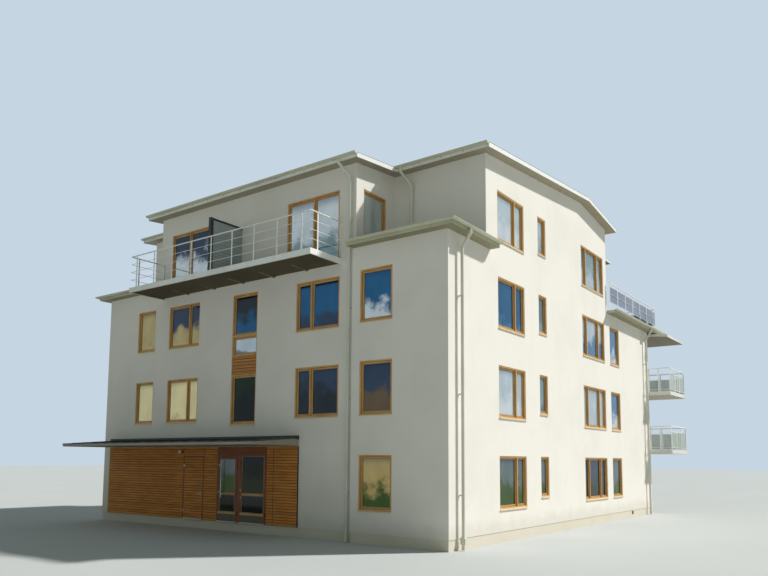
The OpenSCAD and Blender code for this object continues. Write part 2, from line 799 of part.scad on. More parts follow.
// Pins with their brackets on a jamb; side is -1 for a jamb to the left of the leaf, 1 to the right
module hinge_pins(side) {
    for (z = hinge_z) {
        translate([0, -hinge_out, z - pin_over]) cylinder(r = pin_r, h = knuckle_l + 2 * pin_over, $fn = 32);
        for (zz = [z - pin_over, z + knuckle_l + knuckle_t])
            translate([0, -hinge_out, zz]) {
                cylinder(r = knuckle_r, h = bracket_t, $fn = 32);
                translate([side < 0 ? -2 * knuckle_r : 0, 0, 0]) cube([2 * knuckle_r, hinge_out, bracket_t]);
            }
    }
}
module door_frames() {
    color("sienna") on_front() translate([0, clad_y, plinth_h]) {
        translate([service_x, 0, 0]) door_frame(service_w, door_h);
        translate([service_leaf_x, 0, 0]) hinge_pins(-1);
        translate([entrance_x, 0, 0]) {
            door_frame(entrance_w, entrance_h);
            translate([jamb_f + left_leaf_w, 0, 0]) cube([mullion_w, jamb_d, entrance_h + e]);
            translate([jamb_f + left_leaf_w, 0, 0]) hinge_pins(1);
            translate([entrance_w - jamb_f, 0, 0]) hinge_pins(1);
        }
    }
}
// Knuckles round the pins, joined to the leaf's face
module knuckles(side) {
    for (z = hinge_z)
        translate([0, -hinge_out, z]) difference() {
            union() {
                cylinder(r = knuckle_r, h = knuckle_l, $fn = 32);
                translate([side < 0 ? 0 : -strap_w, hinge_out - knuckle_t - leaf_gap, 0])
                    cube([strap_w, leaf_gap + knuckle_t, knuckle_l]);
            }
            translate([0, 0, -e]) cylinder(r = pin_r + pin_gap, h = knuckle_l + 2 * e, $fn = 32);
        }
}
leaf_z = threshold_h + leaf_gap;
// A glazed leaf with a middle rail over a solid panel; rail is the height of its top rail
module glazed_leaf(w, stile, rail) {
    difference() {
        translate([leaf_gap, 0, leaf_z])
            cube([w - 2 * leaf_gap, leaf_t, entrance_h - leaf_z - leaf_gap]);
        leaf_lights(w, stile, rail, 0, leaf_t + 2 * e, -e);
        leaf_glass(w, stile, rail);
    }
}
// The two lights of a leaf, grown by g into the stiles, t deep from y0
module leaf_lights(w, stile, rail, g, t, y0) {
    x0 = leaf_gap + stile - g;
    top = entrance_h - leaf_gap - rail;
    translate([x0, y0, kick_h - g]) cube([w - 2 * x0, t, mid_rail_z - kick_h + 2 * g]);
    translate([x0, y0, mid_rail_z + mid_rail_h - g])
        cube([w - 2 * x0, t, top - mid_rail_z - mid_rail_h + 2 * g]);
}
module leaf_glass(w, stile, rail) {
    leaf_lights(w, stile, rail, glass_seat, glass_t, (leaf_t - glass_t) / 2);
}
module at_doors(x) { on_front() translate([x, clad_y, plinth_h]) children(); }
module entrance_leaf_left() {
    color("sienna") at_doors(left_leaf_x) {
        glazed_leaf(left_leaf_w, stile_left_w, top_left);
        translate([left_leaf_w, 0, 0]) knuckles(1);
    }
}
module entrance_leaf_right() {
    color("sienna") at_doors(right_leaf_x) {
        glazed_leaf(right_leaf_w, stile_right_w, top_right);
        translate([right_leaf_w, 0, 0]) knuckles(1);
    }
}
module entrance_glass_left() {
    color("steelblue") at_doors(left_leaf_x) leaf_glass(left_leaf_w, stile_left_w, top_left);
}
module entrance_glass_right() {
    color("steelblue") at_doors(right_leaf_x) leaf_glass(right_leaf_w, stile_right_w, top_right);
}
module service_door() {
    color("saddlebrown") at_doors(service_leaf_x) {
        translate([leaf_gap, 0, leaf_z])
            cube([service_leaf_w - 2 * leaf_gap, leaf_t, door_h - leaf_z - leaf_gap]);
        knuckles(-1);
    }
}
// A long pull bar on cranked arms, which carry it to the side of its seats on the stile
seat_t = 6;
arm_r = handle_r * 0.75;
module door_handles_left() {
    color("silver") at_doors(left_leaf_x + leaf_gap + stile_left_w / 2) {
        translate([handle_side, -handle_out, handle_z]) cylinder(r = handle_r, h = handle_l, $fn = 24);
        for (z = [handle_z + 3 * handle_out, handle_z + handle_l - 3 * handle_out]) {
            translate([0, 0, z]) rotate([90, 0, 0]) cylinder(r = 2 * handle_r, h = seat_t, $fn = 32);
            bar([0, -seat_t / 2, z], [0, -handle_out, z], arm_r, 24);
            translate([0, -handle_out, z]) sphere(r = arm_r + 1, $fn = 24);
            bar([0, -handle_out, z], [handle_side, -handle_out, z], arm_r, 24);
        }
    }
}
// A pull knob on a short neck
module door_handles_right() {
    neck_r = knob_r / 2;
    color("silver") at_doors(right_leaf_x + leaf_gap + stile_right_w / 2)
        translate([0, 0, knob_z]) rotate([90, 0, 0]) rotate_extrude($fn = 40) polygon([
            [0, 0], [knob_r, 0], [knob_r, seat_t / 2], [neck_r, seat_t], [neck_r, 4 * seat_t],
            [knob_r, 5 * seat_t], [knob_r, 6 * seat_t], [neck_r, 7 * seat_t], [0, 7 * seat_t]]);
}
// A lever on a round rose, near the service door's free edge
module service_handle() {
    color("silver") at_doors(service_leaf_x + service_leaf_w - lever_in) translate([0, 0, mid_rail_z]) {
        rotate([90, 0, 0]) cylinder(r = rose_r, h = rose_t, $fn = 32);
        rotate([90, 0, 0]) cylinder(r = lever_t / 2, h = handle_out - lever_t / 2, $fn = 24);
        translate([lever_t / 2 - lever_l, -handle_out, -lever_t / 2]) cube([lever_l, lever_t, lever_t]);
    }
}
// A wedge: flat underneath, its top falling away from the wall
module entrance_canopy() {
    color("lightgray") on_front() translate([clad_x - canopy_over, front_step, plinth_h + canopy_z])
        rotate([90, 0, 90]) linear_extrude(clad_end_x - clad_x + canopy_over)
            polygon([[-canopy_d, 0], [0, 0], [0, canopy_t + canopy_rise], [-canopy_d, canopy_t]]);
}

// Front balcony: a deck in a frame of edge beams with cross beams under it
bal_l = mid_l + balcony_in_l;
bal_r = mid_r - balcony_in_r;
bal_f = y_m - balcony_d;
module balcony_slab() {
    color("lightgray") union() {
        difference() {
            block([bal_l, bal_f, z_4 - balcony_t], [bal_r, y_m, z_4]);
            block([bal_l + edge_w, bal_f + edge_w, z_4 - balcony_t - e],
                [bal_r - edge_w, y_m + e, z_4 - deck_t]);
        }
        for (i = [1:beam_count])
            translate([bal_l + (bal_r - bal_l) * i / (beam_count + 1) - beam_w / 2, bal_f + edge_w, z_4])
                cross_beam(balcony_d - edge_w);
    }
}
// A beam that is deepest at the wall, l long, with its top under the deck
module cross_beam(l) {
    rotate([90, 0, 90]) linear_extrude(beam_w)
        polygon([[0, -deck_t], [l, -deck_t], [l, beam_up - balcony_t], [0, -deck_t - beam_tip]]);
}
// A round bar from a to b
module bar(a, b, r, fn) {
    d = b - a;
    translate(a) rotate([0, acos(d[2] / norm(d)), atan2(d[1], d[0])]) cylinder(r = r, h = norm(d), $fn = fn);
}
// A flat lattice of posts and bars along +X with its feet at z = 0, standing in the plane y = 0.
// bars lists the bars' heights under the top rail.
// The first and last post stand in0 and in1 from its ends, and its bars start lap before x = 0.
module railing(length, height, bays, bars, in0 = 0, in1 = 0, lap = 0) {
    top = height - top_rail_r;
    for (i = [0:bays])
        translate([in0 + i * (length - in0 - in1 - post_w) / bays, 0, 0]) {
            translate([0, -post_d / 2, 0]) cube([post_w, post_d, top]);
            translate([0, -foot_w / 2, 0]) cube([post_w, foot_w, foot_t]);
        }
    translate([0, 0, top]) rotate([0, 90, 0]) cylinder(r = top_rail_r, h = length, $fn = 24);
    for (z = bars)
        translate([-lap, 0, z]) rotate([0, 90, 0]) cylinder(r = bar_r, h = length + lap, $fn = 16);
}
// Rails turn the corners without a post there
side_lap = top_rail_r - bar_r;
side_start = top_rail_r + 1;
module balcony_railing() {
    color("white") {
        translate([bal_l + rail_in, bal_f + rail_in, z_4])
            railing(bal_r - bal_l - 2 * rail_in, rail_h, rail_bays, front_bars,
                corner_gap - rail_in, corner_gap);
        for (x = [bal_l + rail_in, bal_r - rail_in])
            translate([x, bal_f + rail_in + side_start, z_4]) rotate([0, 0, 90])
                railing(balcony_d - rail_in - side_start, rail_h, 1, front_bars,
                    corner_gap - rail_in - side_start, 0, side_lap);
    }
}
// A post and top rail that hold slats, between the two flats' halves of the balcony
module privacy_screen() {
    x = bal_l + screen_x;
    y0 = bal_f + 2 * rail_in;
    y1 = y0 + screen_post;
    half = screen_rail / 2;
    rail_z = z_4 + screen_h - screen_rail;
    pitch = (screen_h - screen_rail) / slat_count;
    slat_h = pitch * slat_share;
    color("slategray") union() {
        block([x - screen_post / 2, y0, z_4], [x + screen_post / 2, y1, z_4 + screen_h]);
        block([x - half, y1, rail_z], [x + half, y_m, z_4 + screen_h]);
        block([x - half, y_m - half, z_4], [x + half, y_m, rail_z]);
        for (i = [0:slat_count - 1])
            translate([x - slat_t / 2, y1, z_4 + (i + 0.5) * pitch - slat_h / 2])
                cube([slat_t, y_m - half - y1, slat_h]);
    }
}

// Upper roof: a low slope up from the front eave to the ridge, then down to the back, with
// its front corners cut back over the side parts and a board along each verge
module roof_profile(y0, y1, z0, t) {
    polygon(concat(roof_line(y0, y1, z0), reversed(roof_line(y0, y1, z0 + t))));
}
eave_y = front_step - roof_eave;
set_eave_y = set_back - roof_eave;
rear_eave_y = top_d + roof_eave;
notch_l_x = left_part_w - roof_verge;
notch_r_x = house_w - right_part_w + roof_verge;
module verge_board(x, y0, y1) {
    translate([x, 0, 0]) rotate([90, 0, 90]) linear_extrude(verge_t)
        roof_profile(y0, y1, -verge_down, roof_t + verge_down + verge_up);
}
module upper_roof() {
    color("lightgray") on_front() union() {
        difference() {
            translate([-roof_verge, 0, 0]) rotate([90, 0, 90]) linear_extrude(house_w + 2 * roof_verge)
                roof_profile(eave_y, rear_eave_y, 0, roof_t);
            block([-roof_verge - e, eave_y - e, 0], [notch_l_x, set_eave_y, 2 * z_4]);
            block([notch_r_x, eave_y - e, 0], [house_w + roof_verge + e, set_eave_y, 2 * z_4]);
        }
        verge_board(-roof_verge, set_eave_y, rear_eave_y);
        verge_board(house_w + roof_verge - verge_t, set_eave_y, rear_eave_y);
        verge_board(notch_l_x, eave_y, set_eave_y);
        verge_board(notch_r_x - verge_t, eave_y, set_eave_y);
    }
}

// Gutters and downpipes. A gutter runs along +X with its rim at z = 0, and its brackets touch the
// plane y = 0 behind it. Outlets are places along it, and ends are "cap", or "mitre" at a corner.
gutter_c = gutter_r + clip_t;
spigot_r = pipe_r - 6;
// A bracket's plate reaches down over the edge of its roof
plate_down = 60;
clip_h = gutter_up + plate_down;
clip_in = 2 * clip_w;
module half_ring(outer, inner) {
    translate([-gutter_c, 0]) difference() {
        circle(r = outer, $fn = 48);
        if (inner > 0) circle(r = inner, $fn = 48);
        translate([-2 * outer, 0]) square([4 * outer, 2 * outer]);
    }
}
module along_x(length) { rotate([90, 0, 90]) linear_extrude(length) children(); }
module gutter(length, outlets, end0, end1) {
    // a mitred end is drawn past its corner and then cut
    over = 3 * gutter_r;
    x0 = end0 == "mitre" ? -over : 0;
    x1 = end1 == "mitre" ? length + over : length;
    clips = ceil(length / clip_gap);
    difference() {
        union() {
            translate([x0, 0, 0]) along_x(x1 - x0) half_ring(gutter_r, gutter_r - gutter_t);
            translate([x0, -gutter_c - gutter_r + gutter_t / 2, 0]) rotate([0, 90, 0])
                cylinder(r = 1.6 * gutter_t, h = x1 - x0, $fn = 16);
            if (end0 == "cap") along_x(gutter_t) half_ring(gutter_r, 0);
            if (end1 == "cap") translate([length - gutter_t, 0, 0]) along_x(gutter_t) half_ring(gutter_r, 0);
            for (i = [0:clips])
                translate([clip_in + i * (length - 2 * clip_in - clip_w) / clips, 0, 0]) {
                    along_x(clip_w) half_ring(gutter_c - 1, gutter_r - gutter_t / 2);
                    translate([0, -clip_t, -clip_h]) cube([clip_w, clip_t, clip_h]);
                }
            for (x = outlets)
                translate([x, -gutter_c, -gutter_r - spigot_l])
                    cylinder(r = spigot_r, h = spigot_l + 2 * gutter_t, $fn = 32);
        }
        for (x = outlets)
            translate([x, -gutter_c, -gutter_r - spigot_l - e])
                cylinder(r = spigot_r - gutter_t, h = spigot_l + gutter_r, $fn = 32);
        if (end0 == "mitre") mitre_block([0, 0, 45]);
        if (end1 == "mitre") translate([length, 0, 0]) mitre_block([0, 0, -45]);
    }
}
// What is cut off beyond a corner, so that two mitred ends stand mitre_gap apart
mitre_gap = 1;
module mitre_block(turn) {
    // larger than any gutter's section
    s = 10 * gutter_r;
    rotate(turn) translate([-s / 2, -mitre_gap / 2, -s / 2]) cube([s, s, s]);
}
low_rim_z = z_eave + low_roof_t + gutter_up;
deck_rim_z = z_deck + gutter_up;
function rim_z(y) = roof_z(y) + roof_t + gutter_up;
outlet_drop = gutter_r + spigot_l;
module upper_gutters() {
    color("white") {
        on_front() {
            translate([notch_l_x, eave_y, rim_z(eave_y)])
                gutter(notch_r_x - notch_l_x,
                    [house_w - right_part_w - front_pipe_x - outlet_in - notch_l_x], "cap", "cap");
            translate([-roof_verge, set_eave_y, rim_z(set_eave_y)])
                gutter(left_part_w - e, [left_part_w - notch_pipe_x + outlet_in + roof_verge], "cap", "cap");
            translate([notch_r_x + e, set_eave_y, rim_z(set_eave_y)])
                gutter(right_part_w - e, [notch_pipe_x - outlet_in - roof_verge], "cap", "cap");
        }
        on_top_rear() translate([-roof_verge, -roof_eave, rim_z(rear_eave_y)])
            gutter(house_w + 2 * roof_verge,
                [top_pipe_x + roof_verge, house_w - top_pipe_x + roof_verge], "cap", "cap");
    }
}
// Hipped roof over a front corner, from the house's corner: w along the front, d back to the wall
module corner_roof(w, d) {
    rise = tan(low_pitch);
    back = d + low_return;
    difference() {
        intersection() {
            translate([-low_eave, 0, 0]) along_x(w + low_eave)
                polygon([[-low_eave, 0], [back, 0], [back, low_roof_t + (back + low_eave) * rise],
                    [-low_eave, low_roof_t]]);
            translate([0, back, 0]) rotate([90, 0, 0]) linear_extrude(back + low_eave)
                polygon([[-low_eave, 0], [w, 0], [w, low_roof_t + (w + low_eave) * rise],
                    [-low_eave, low_roof_t]]);
        }
        translate([0, d, -e]) cube([w + e, low_return + e, 4 * low_roof_t]);
    }
}
// Lower roofs over the two front notches, and the terrace deck
module lower_roofs() {
    color("lightgray") {
        translate([x_r, y_f, z_eave]) mirror([1, 0, 0]) corner_roof(right_part_w, set_back);
        translate([x_l, y_m, z_eave]) corner_roof(left_part_w, set_back - front_step);
        block([x_l - low_eave, y_top, z_4], [x_r + low_eave, y_b + terrace_out, z_deck]);
    }
}
module lower_gutters() {
    ret = low_eave + low_return;
    side = house_d - top_d + terrace_out;
    // along the two front corners
    color("white") translate([0, 0, low_rim_z]) {
        on_front() {
            translate([house_w - right_part_w, -low_eave, 0])
                gutter(right_part_w + low_eave, [], "cap", "mitre");
            translate([-low_eave, front_step - low_eave, 0])
                gutter(left_part_w + low_eave, [], "mitre", "cap");
        }
        on_right() translate([-low_eave, -low_eave, 0])
            gutter(set_back + ret, [corner_pipe_y + low_eave], "mitre", "cap");
        on_left() translate([house_d - set_back - low_return, -low_eave, 0])
            gutter(set_back - front_step + ret, [set_back + low_return - corner_pipe_y], "cap", "mitre");
    }
    // round the terrace
    color("white") translate([0, 0, deck_rim_z]) {
        on_right() translate([top_d, -low_eave, 0])
            gutter(side, [house_d - rear_pipe_y - top_d], "cap", "mitre");
        on_rear() translate([-low_eave, -terrace_out, 0])
            gutter(house_w + 2 * low_eave, [], "mitre", "mitre");
        on_left() translate([-terrace_out, -low_eave, 0])
            gutter(side, [terrace_out + rear_pipe_y], "mitre", "cap");
    }
}
// A downpipe on the wall plane y = 0: from an outlet at [across, out, z] under an eave t thick, by
// a swan neck to the wall and down to z0, with a clamp on the wall every storey
module downpipe(outlet, t, z0) {
    y = -pipe_off - pipe_r;
    z1 = outlet[2] - neck_h;
    // the neck turns in just under the eave
    straight = t + gutter_up - outlet_drop + pipe_r + collar + bend_gap;
    points = [[outlet[0], -outlet[1], outlet[2]], [outlet[0], -outlet[1], outlet[2] - straight],
        [0, y, z1], [0, y, z0]];
    for (i = [0:2]) bar(points[i], points[i + 1], pipe_r, 32);
    for (i = [1, 2]) translate(points[i]) sphere(r = pipe_r + collar, $fn = 32);
    translate([0, y, z0]) cylinder(r = pipe_r + collar, h = 3 * clamp_h, $fn = 32);
    for (z = [z0 + clamp_first:storey_h:z1 - clamp_h])
        translate([0, y, z]) {
            cylinder(r = pipe_r + collar, h = clamp_h, $fn = 32);
            translate([-clamp_h / 2, 0, 0]) cube([clamp_h, -y, clamp_h]);
        }
}
module downpipes() {
    low_out = low_eave + gutter_c;
    color("white") {
        // from the front eave to the ground, left of the projecting corner section
        on_front() translate([house_w - right_part_w - front_pipe_x, front_step, 0])
            downpipe([-outlet_in, roof_eave + gutter_c, rim_z(eave_y) - outlet_drop], roof_t, shoe_gap);
        // from the set-back eaves to the lower roofs
        on_front() for (s = [-1, 1])
            translate([s < 0 ? left_part_w - notch_pipe_x : house_w - right_part_w + notch_pipe_x,
                set_back, 0])
                downpipe([-s * outlet_in, roof_eave + gutter_c, rim_z(set_eave_y) - outlet_drop],
                    roof_t, z_eave + 2 * low_roof_t + roof_gap);
        // down the side walls, each place with the rim over it
        on_right() for (p = [[corner_pipe_y, low_rim_z], [house_d - rear_pipe_y, deck_rim_z]])
            translate([p[0], 0, 0]) downpipe([0, low_out, p[1] - outlet_drop], low_roof_t, shoe_gap);
        on_left() for (p = [[rear_pipe_y, deck_rim_z], [house_d - corner_pipe_y, low_rim_z]])
            translate([p[0], 0, 0]) downpipe([0, low_out, p[1] - outlet_drop], low_roof_t, shoe_gap);
    }
}
// From the rear eave to the terrace
module terrace_downpipes() {
    color("white") on_top_rear() for (x = [top_pipe_x, house_w - top_pipe_x])
        translate([x, 0, 0]) downpipe([0, roof_eave + gutter_c, rim_z(rear_eave_y) - outlet_drop],
            roof_t, z_deck + roof_gap);
}
module terrace_railing() {
    y1 = y_b + terrace_out - terrace_rail_back;
    side = y1 - y_top - side_start;
    color("white") {
        for (x = [x_l - terrace_rail_out, x_r + terrace_rail_out])
            translate([x, y1 - side_start, z_deck]) rotate([0, 0, -90])
                railing(side, terrace_rail_h, terrace_side_bays, terrace_bars, corner_gap, 0, side_lap);
        translate([x_l - terrace_rail_out, y1, z_deck])
            railing(house_w + 2 * terrace_rail_out, terrace_rail_h, terrace_bays, terrace_bars,
                corner_gap, corner_gap);
    }
}

// Rear balconies at both corners, their railings and roofs; s is -1 on the left, 1 on the right
module each_rear() {
    for (s = [1, -1]) translate([s > 0 ? x_r : x_l, y_b, 0]) mirror([s > 0 ? 0 : 1, 0, 0]) children();
}
module rear_balconies() {
    color("lightgray") each_rear() for (n = [2, 3])
        block([rear_side - rear_w, 0, floor_z(n) - rear_drop - rear_t],
            [rear_side, rear_d, floor_z(n) - rear_drop]);
}
module rear_railings() {
    deep = rear_d - 2 * rail_in - 2 * side_start;
    short = rear_side - rail_in + top_rail_r;
    color("white") each_rear() for (n = [2, 3]) translate([0, 0, floor_z(n) - rear_drop]) {
        translate([rear_side - rear_w + rail_in, rear_d - rail_in, 0])
            railing(rear_w - 2 * rail_in, rear_rail_h, 4, rear_bars);
        // outer side, whose corner posts it shares with the long rail and the short one at the wall
        translate([rear_side - rail_in, rail_in + side_start, 0]) rotate([0, 0, 90])
            railing(deep, rear_rail_h, 2, rear_bars, 0, deep / 3, side_lap);
        translate([0, rail_in, 0]) railing(short, rear_rail_h, 1, rear_bars, 0, short / 2);
        // inner side, up to the rear wall
        translate([rear_side - rear_w + rail_in, 0, 0]) rotate([0, 0, 90])
            railing(rear_d - rail_in - side_start, rear_rail_h, 2, rear_bars, 0, deep / 3);
    }
}
// Thin roofs: over the rear balconies, flaring out past the side walls, and over the terrace doors
shade_w = terrace_door_x + door_l_w + shade_over;
module rear_balcony_roof() {
    color("lightgray") {
        each_rear() translate([0, 0, z_4 - rear_roof_drop - rear_roof_t]) linear_extrude(rear_roof_t)
            polygon([[rear_side - rear_w, 0], [rear_roof_side - flare, 0], [rear_roof_side, 0.8 * flare],
                [rear_roof_side, rear_roof_d], [rear_side - rear_w, rear_roof_d]]);
        on_top_rear() for (x = [0, house_w - shade_w])
            translate([x, -shade_d, floor_z(4) + head_h + shade_gap]) cube([shade_w, shade_d, shade_t]);
    }
}

plinth();
ground_floor();
second_floor();
third_floor();
fourth_floor();
front_wall();
entrance_walls();
door_lintel();
front_corner_wall();
right_wall();
left_wall();
rear_wall();
upper_front_wall();
notch_walls();
set_back_walls();
upper_right_wall();
upper_left_wall();
upper_rear_wall();
front_window_frames();
right_window_frames();
left_window_frames();
rear_window_frames();
front_glass();
right_glass();
left_glass();
rear_glass();
window_sills();
stair_panel();
entrance_cladding();
cladding_header();
door_frames();
entrance_leaf_left();
entrance_leaf_right();
entrance_glass_left();
entrance_glass_right();
service_door();
door_handles_left();
door_handles_right();
service_handle();
entrance_canopy();
balcony_slab();
balcony_railing();
privacy_screen();
upper_roof();
upper_gutters();
lower_roofs();
lower_gutters();
downpipes();
terrace_downpipes();
terrace_railing();
rear_balconies();
rear_railings();
rear_balcony_roof();
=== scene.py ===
"""Apartment block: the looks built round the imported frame.

Metres, in the part's own frame: the entrance front faces -Y, the sunny side faces +X, +Z is up,
and the origin is the middle of the main walls' rectangle at the lowest ground point.
"""

import math

import bpy
from mathutils import Matrix, Vector


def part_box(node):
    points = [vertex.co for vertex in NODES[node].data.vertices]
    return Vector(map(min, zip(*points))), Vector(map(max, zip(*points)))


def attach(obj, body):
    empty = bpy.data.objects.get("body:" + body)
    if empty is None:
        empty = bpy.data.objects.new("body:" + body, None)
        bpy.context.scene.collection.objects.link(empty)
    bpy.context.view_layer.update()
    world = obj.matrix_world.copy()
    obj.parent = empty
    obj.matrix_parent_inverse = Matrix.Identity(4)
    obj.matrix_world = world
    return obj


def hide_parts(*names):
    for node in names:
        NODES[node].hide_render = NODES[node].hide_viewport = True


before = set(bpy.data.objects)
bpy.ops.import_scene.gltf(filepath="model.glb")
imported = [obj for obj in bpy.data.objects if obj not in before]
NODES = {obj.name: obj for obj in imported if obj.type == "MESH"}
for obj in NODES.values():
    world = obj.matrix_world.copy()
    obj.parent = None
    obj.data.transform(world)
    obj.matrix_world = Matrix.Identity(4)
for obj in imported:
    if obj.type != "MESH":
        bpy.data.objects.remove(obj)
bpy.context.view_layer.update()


# Places and sizes of the real building

HOUSE_W, HOUSE_D = 15.75, 18.1
STOREY = 2.7
GROUND = 0.3
LEFT, RIGHT = -HOUSE_W / 2, HOUSE_W / 2
FRONT, BACK = -HOUSE_D / 2, HOUSE_D / 2
STEP = 0.157
MAIN = FRONT + STEP
SET_BACK = 2.17
TOP_BACK = FRONT + 12.55
NOTCH_LEFT, NOTCH_RIGHT = 3.15, 3.29
MID_LEFT, MID_RIGHT = LEFT + NOTCH_LEFT, RIGHT - NOTCH_RIGHT
EAVE_Z = 8.6
REVEAL, FRAME_DEPTH, FRAME_FACE = 0.018, 0.11, 0.042
SASH_FACE, SASH_STEP = 0.058, 0.05
SILL, HEAD = 0.65, 2.2
FLOOR_4 = GROUND + 3 * STOREY

# Entrance cladding. Heights are over the floor, x is from the left corner of the front
CLAD_THICK = 0.045
CLAD_FACE = MAIN - CLAD_THICK
CLAD_TOP = 2.46
CLAD_ENDS, CLAD_SEAM = (0.42, 10.305), 9.27
BOARD_PITCH, BOARD_GAP, BOARD_THICK = 0.088, 0.015, 0.022
BOARD_BACK = 0.0225

# Doors, measured in the same way
JAMB, LEAF_GAP, LEAF_THICK, THRESHOLD = 0.046, 0.006, 0.05, 0.025
SERVICE_X, SERVICE_W, SERVICE_H = 4.88, 1.08, 2.11
ENTRANCE_X, ENTRANCE_W, ENTRANCE_H = 6.65, 2.315, 2.215
POST, LEFT_LEAF_SHARE = 0.155, 0.448
LEFT_LEAF_W = (ENTRANCE_W - 2 * JAMB - POST) * LEFT_LEAF_SHARE
RIGHT_LEAF_W = ENTRANCE_W - 2 * JAMB - POST - LEFT_LEAF_W
LEFT_LEAF_X = ENTRANCE_X + JAMB
RIGHT_LEAF_X = LEFT_LEAF_X + LEFT_LEAF_W + POST
KICK, MID_RAIL = 0.33, (0.89, 0.95)
# Each glazed leaf as (start, width, stile, top rail)
LEAVES = {"left": (LEFT_LEAF_X, LEFT_LEAF_W, 0.1, 0.15), "right": (RIGHT_LEAF_X, RIGHT_LEAF_W, 0.06, 0.05)}
LOCK = (RIGHT_LEAF_X + 0.036, 0.82)

CANOPY_X, CANOPY_DEPTH, CANOPY_Z = (0.38, 10.305), 1.98, GROUND + 2.475
CANOPY_EDGE, CANOPY_WALL = 0.11, 0.255
LAMP = (4.79, 2.3)
VENT = (FRONT + 15.24, 0.2)
CORNER_PIPE = (RIGHT + 0.118, FRONT + 0.555)

ROOF_RISE, RIDGE = 2.89, 9.85
FRONT_SLOPE, REAR_SLOPE = math.tan(math.radians(5.6)), math.tan(math.radians(7.5))
ROOF_THICK, VERGE_UP, ROOF_EAVE, ROOF_VERGE = 0.11, 0.027, 0.42, 0.35
LOW_ROOF = 0.11
DECK_Z = FLOOR_4 + LOW_ROOF
TERRACE_RAIL, TERRACE_RAIL_OUT = BACK + 0.96, 0.13
BALCONY = (LEFT + 3.32, RIGHT - 3.785, MAIN - 1.47)
REAR_SIDE, REAR_DEEP, REAR_WIDE, REAR_DROP = 0.97, 2.75, 4.5, 0.09
RAIL_IN, HALF_POST = 0.04, 0.022

# Windows as (start from the face's left corner, width, sill over the floor, storeys, shares of the lights)
SIDE_WINDOWS = [
    (2.9, 1.84, SILL, (1, 2, 3, 4), (0.67, 0.33)), (5.83, 0.64, 0.905, (1, 2, 3, 4), (1,)),
    (9.78, 2.4, SILL, (1, 2, 3, 4), (0.2, 0.53, 0.27)), (12.82, 1.145, SILL, (1, 2, 3), (1,))]
MAIN_WINDOWS = [
    (1.86, 1.05, SILL, (2, 3), (1,)), (3.735, 1.69, SILL, (2, 3), (0.67, 0.33)),
    (10.075, 1.77, SILL, (2, 3), (0.34, 0.66)),
    (3.75, 2.07, 0, (4,), (0.48, 0.52)), (9.62, 2.19, 0, (4,), (0.52, 0.48))]
CORNER_WINDOWS = [(12.76, 1.16, SILL, (1, 2, 3), (1,))]
REAR_WINDOWS = [
    (4.23, 1.69, SILL, (1, 2, 3), (0.67, 0.33)), (9.83, 1.69, SILL, (1, 2, 3), (0.34, 0.66)),
    (7.28, 1.19, SILL, (1, 2, 3), (1,)),
    (1.0, 1.9, -REAR_DROP, (2, 3), (0.67, 0.33)), (12.85, 1.9, -REAR_DROP, (2, 3), (0.34, 0.66))]
TERRACE_DOORS = [(2.6, 2.07, LOW_ROOF, (4,), (0.67, 0.33)), (11.08, 2.07, LOW_ROOF, (4,), (0.34, 0.66))]
NOTCH_WINDOW = (0.36, 1.155, SILL, (4,), (1,))
STAIR_X, STAIR_W = 7.147, 1.19
STAIR_LIGHTS = [(3.5, 5.16), (5.79, 6.47), (6.47, 7.9)]
STAIR_PANEL = (5.16, 5.79)


def floor_z(n):
    return GROUND + STOREY * (n - 1)


def face(x, y, turn):
    """A face seen from outside: x runs right along it, y inwards, z up"""
    return Matrix.Translation((x, y, 0)) @ Matrix.Rotation(math.radians(turn), 4, "Z")


ON_FRONT = face(LEFT, FRONT, 0)
ON_MAIN = face(LEFT, MAIN, 0)
ON_RIGHT = face(RIGHT, FRONT, 90)
ON_REAR = face(RIGHT, BACK, 180)
ON_LEFT = face(LEFT, BACK, -90)
ON_TOP_REAR = face(RIGHT, TOP_BACK, 180)
ON_NOTCH_RIGHT = face(MID_RIGHT, MAIN, 90)
ON_NOTCH_LEFT = face(MID_LEFT, MAIN + 2 * NOTCH_WINDOW[0] + NOTCH_WINDOW[1], -90)


# Shader helpers

def shade(text):
    """A colour as it is written, such as "#8A6A3C", for a shader"""
    parts = [int(text[i:i + 2], 16) / 255 for i in (1, 3, 5)]
    return tuple(p / 12.92 if p <= 0.04045 else ((p + 0.055) / 1.055) ** 2.4 for p in parts) + (1.0,)


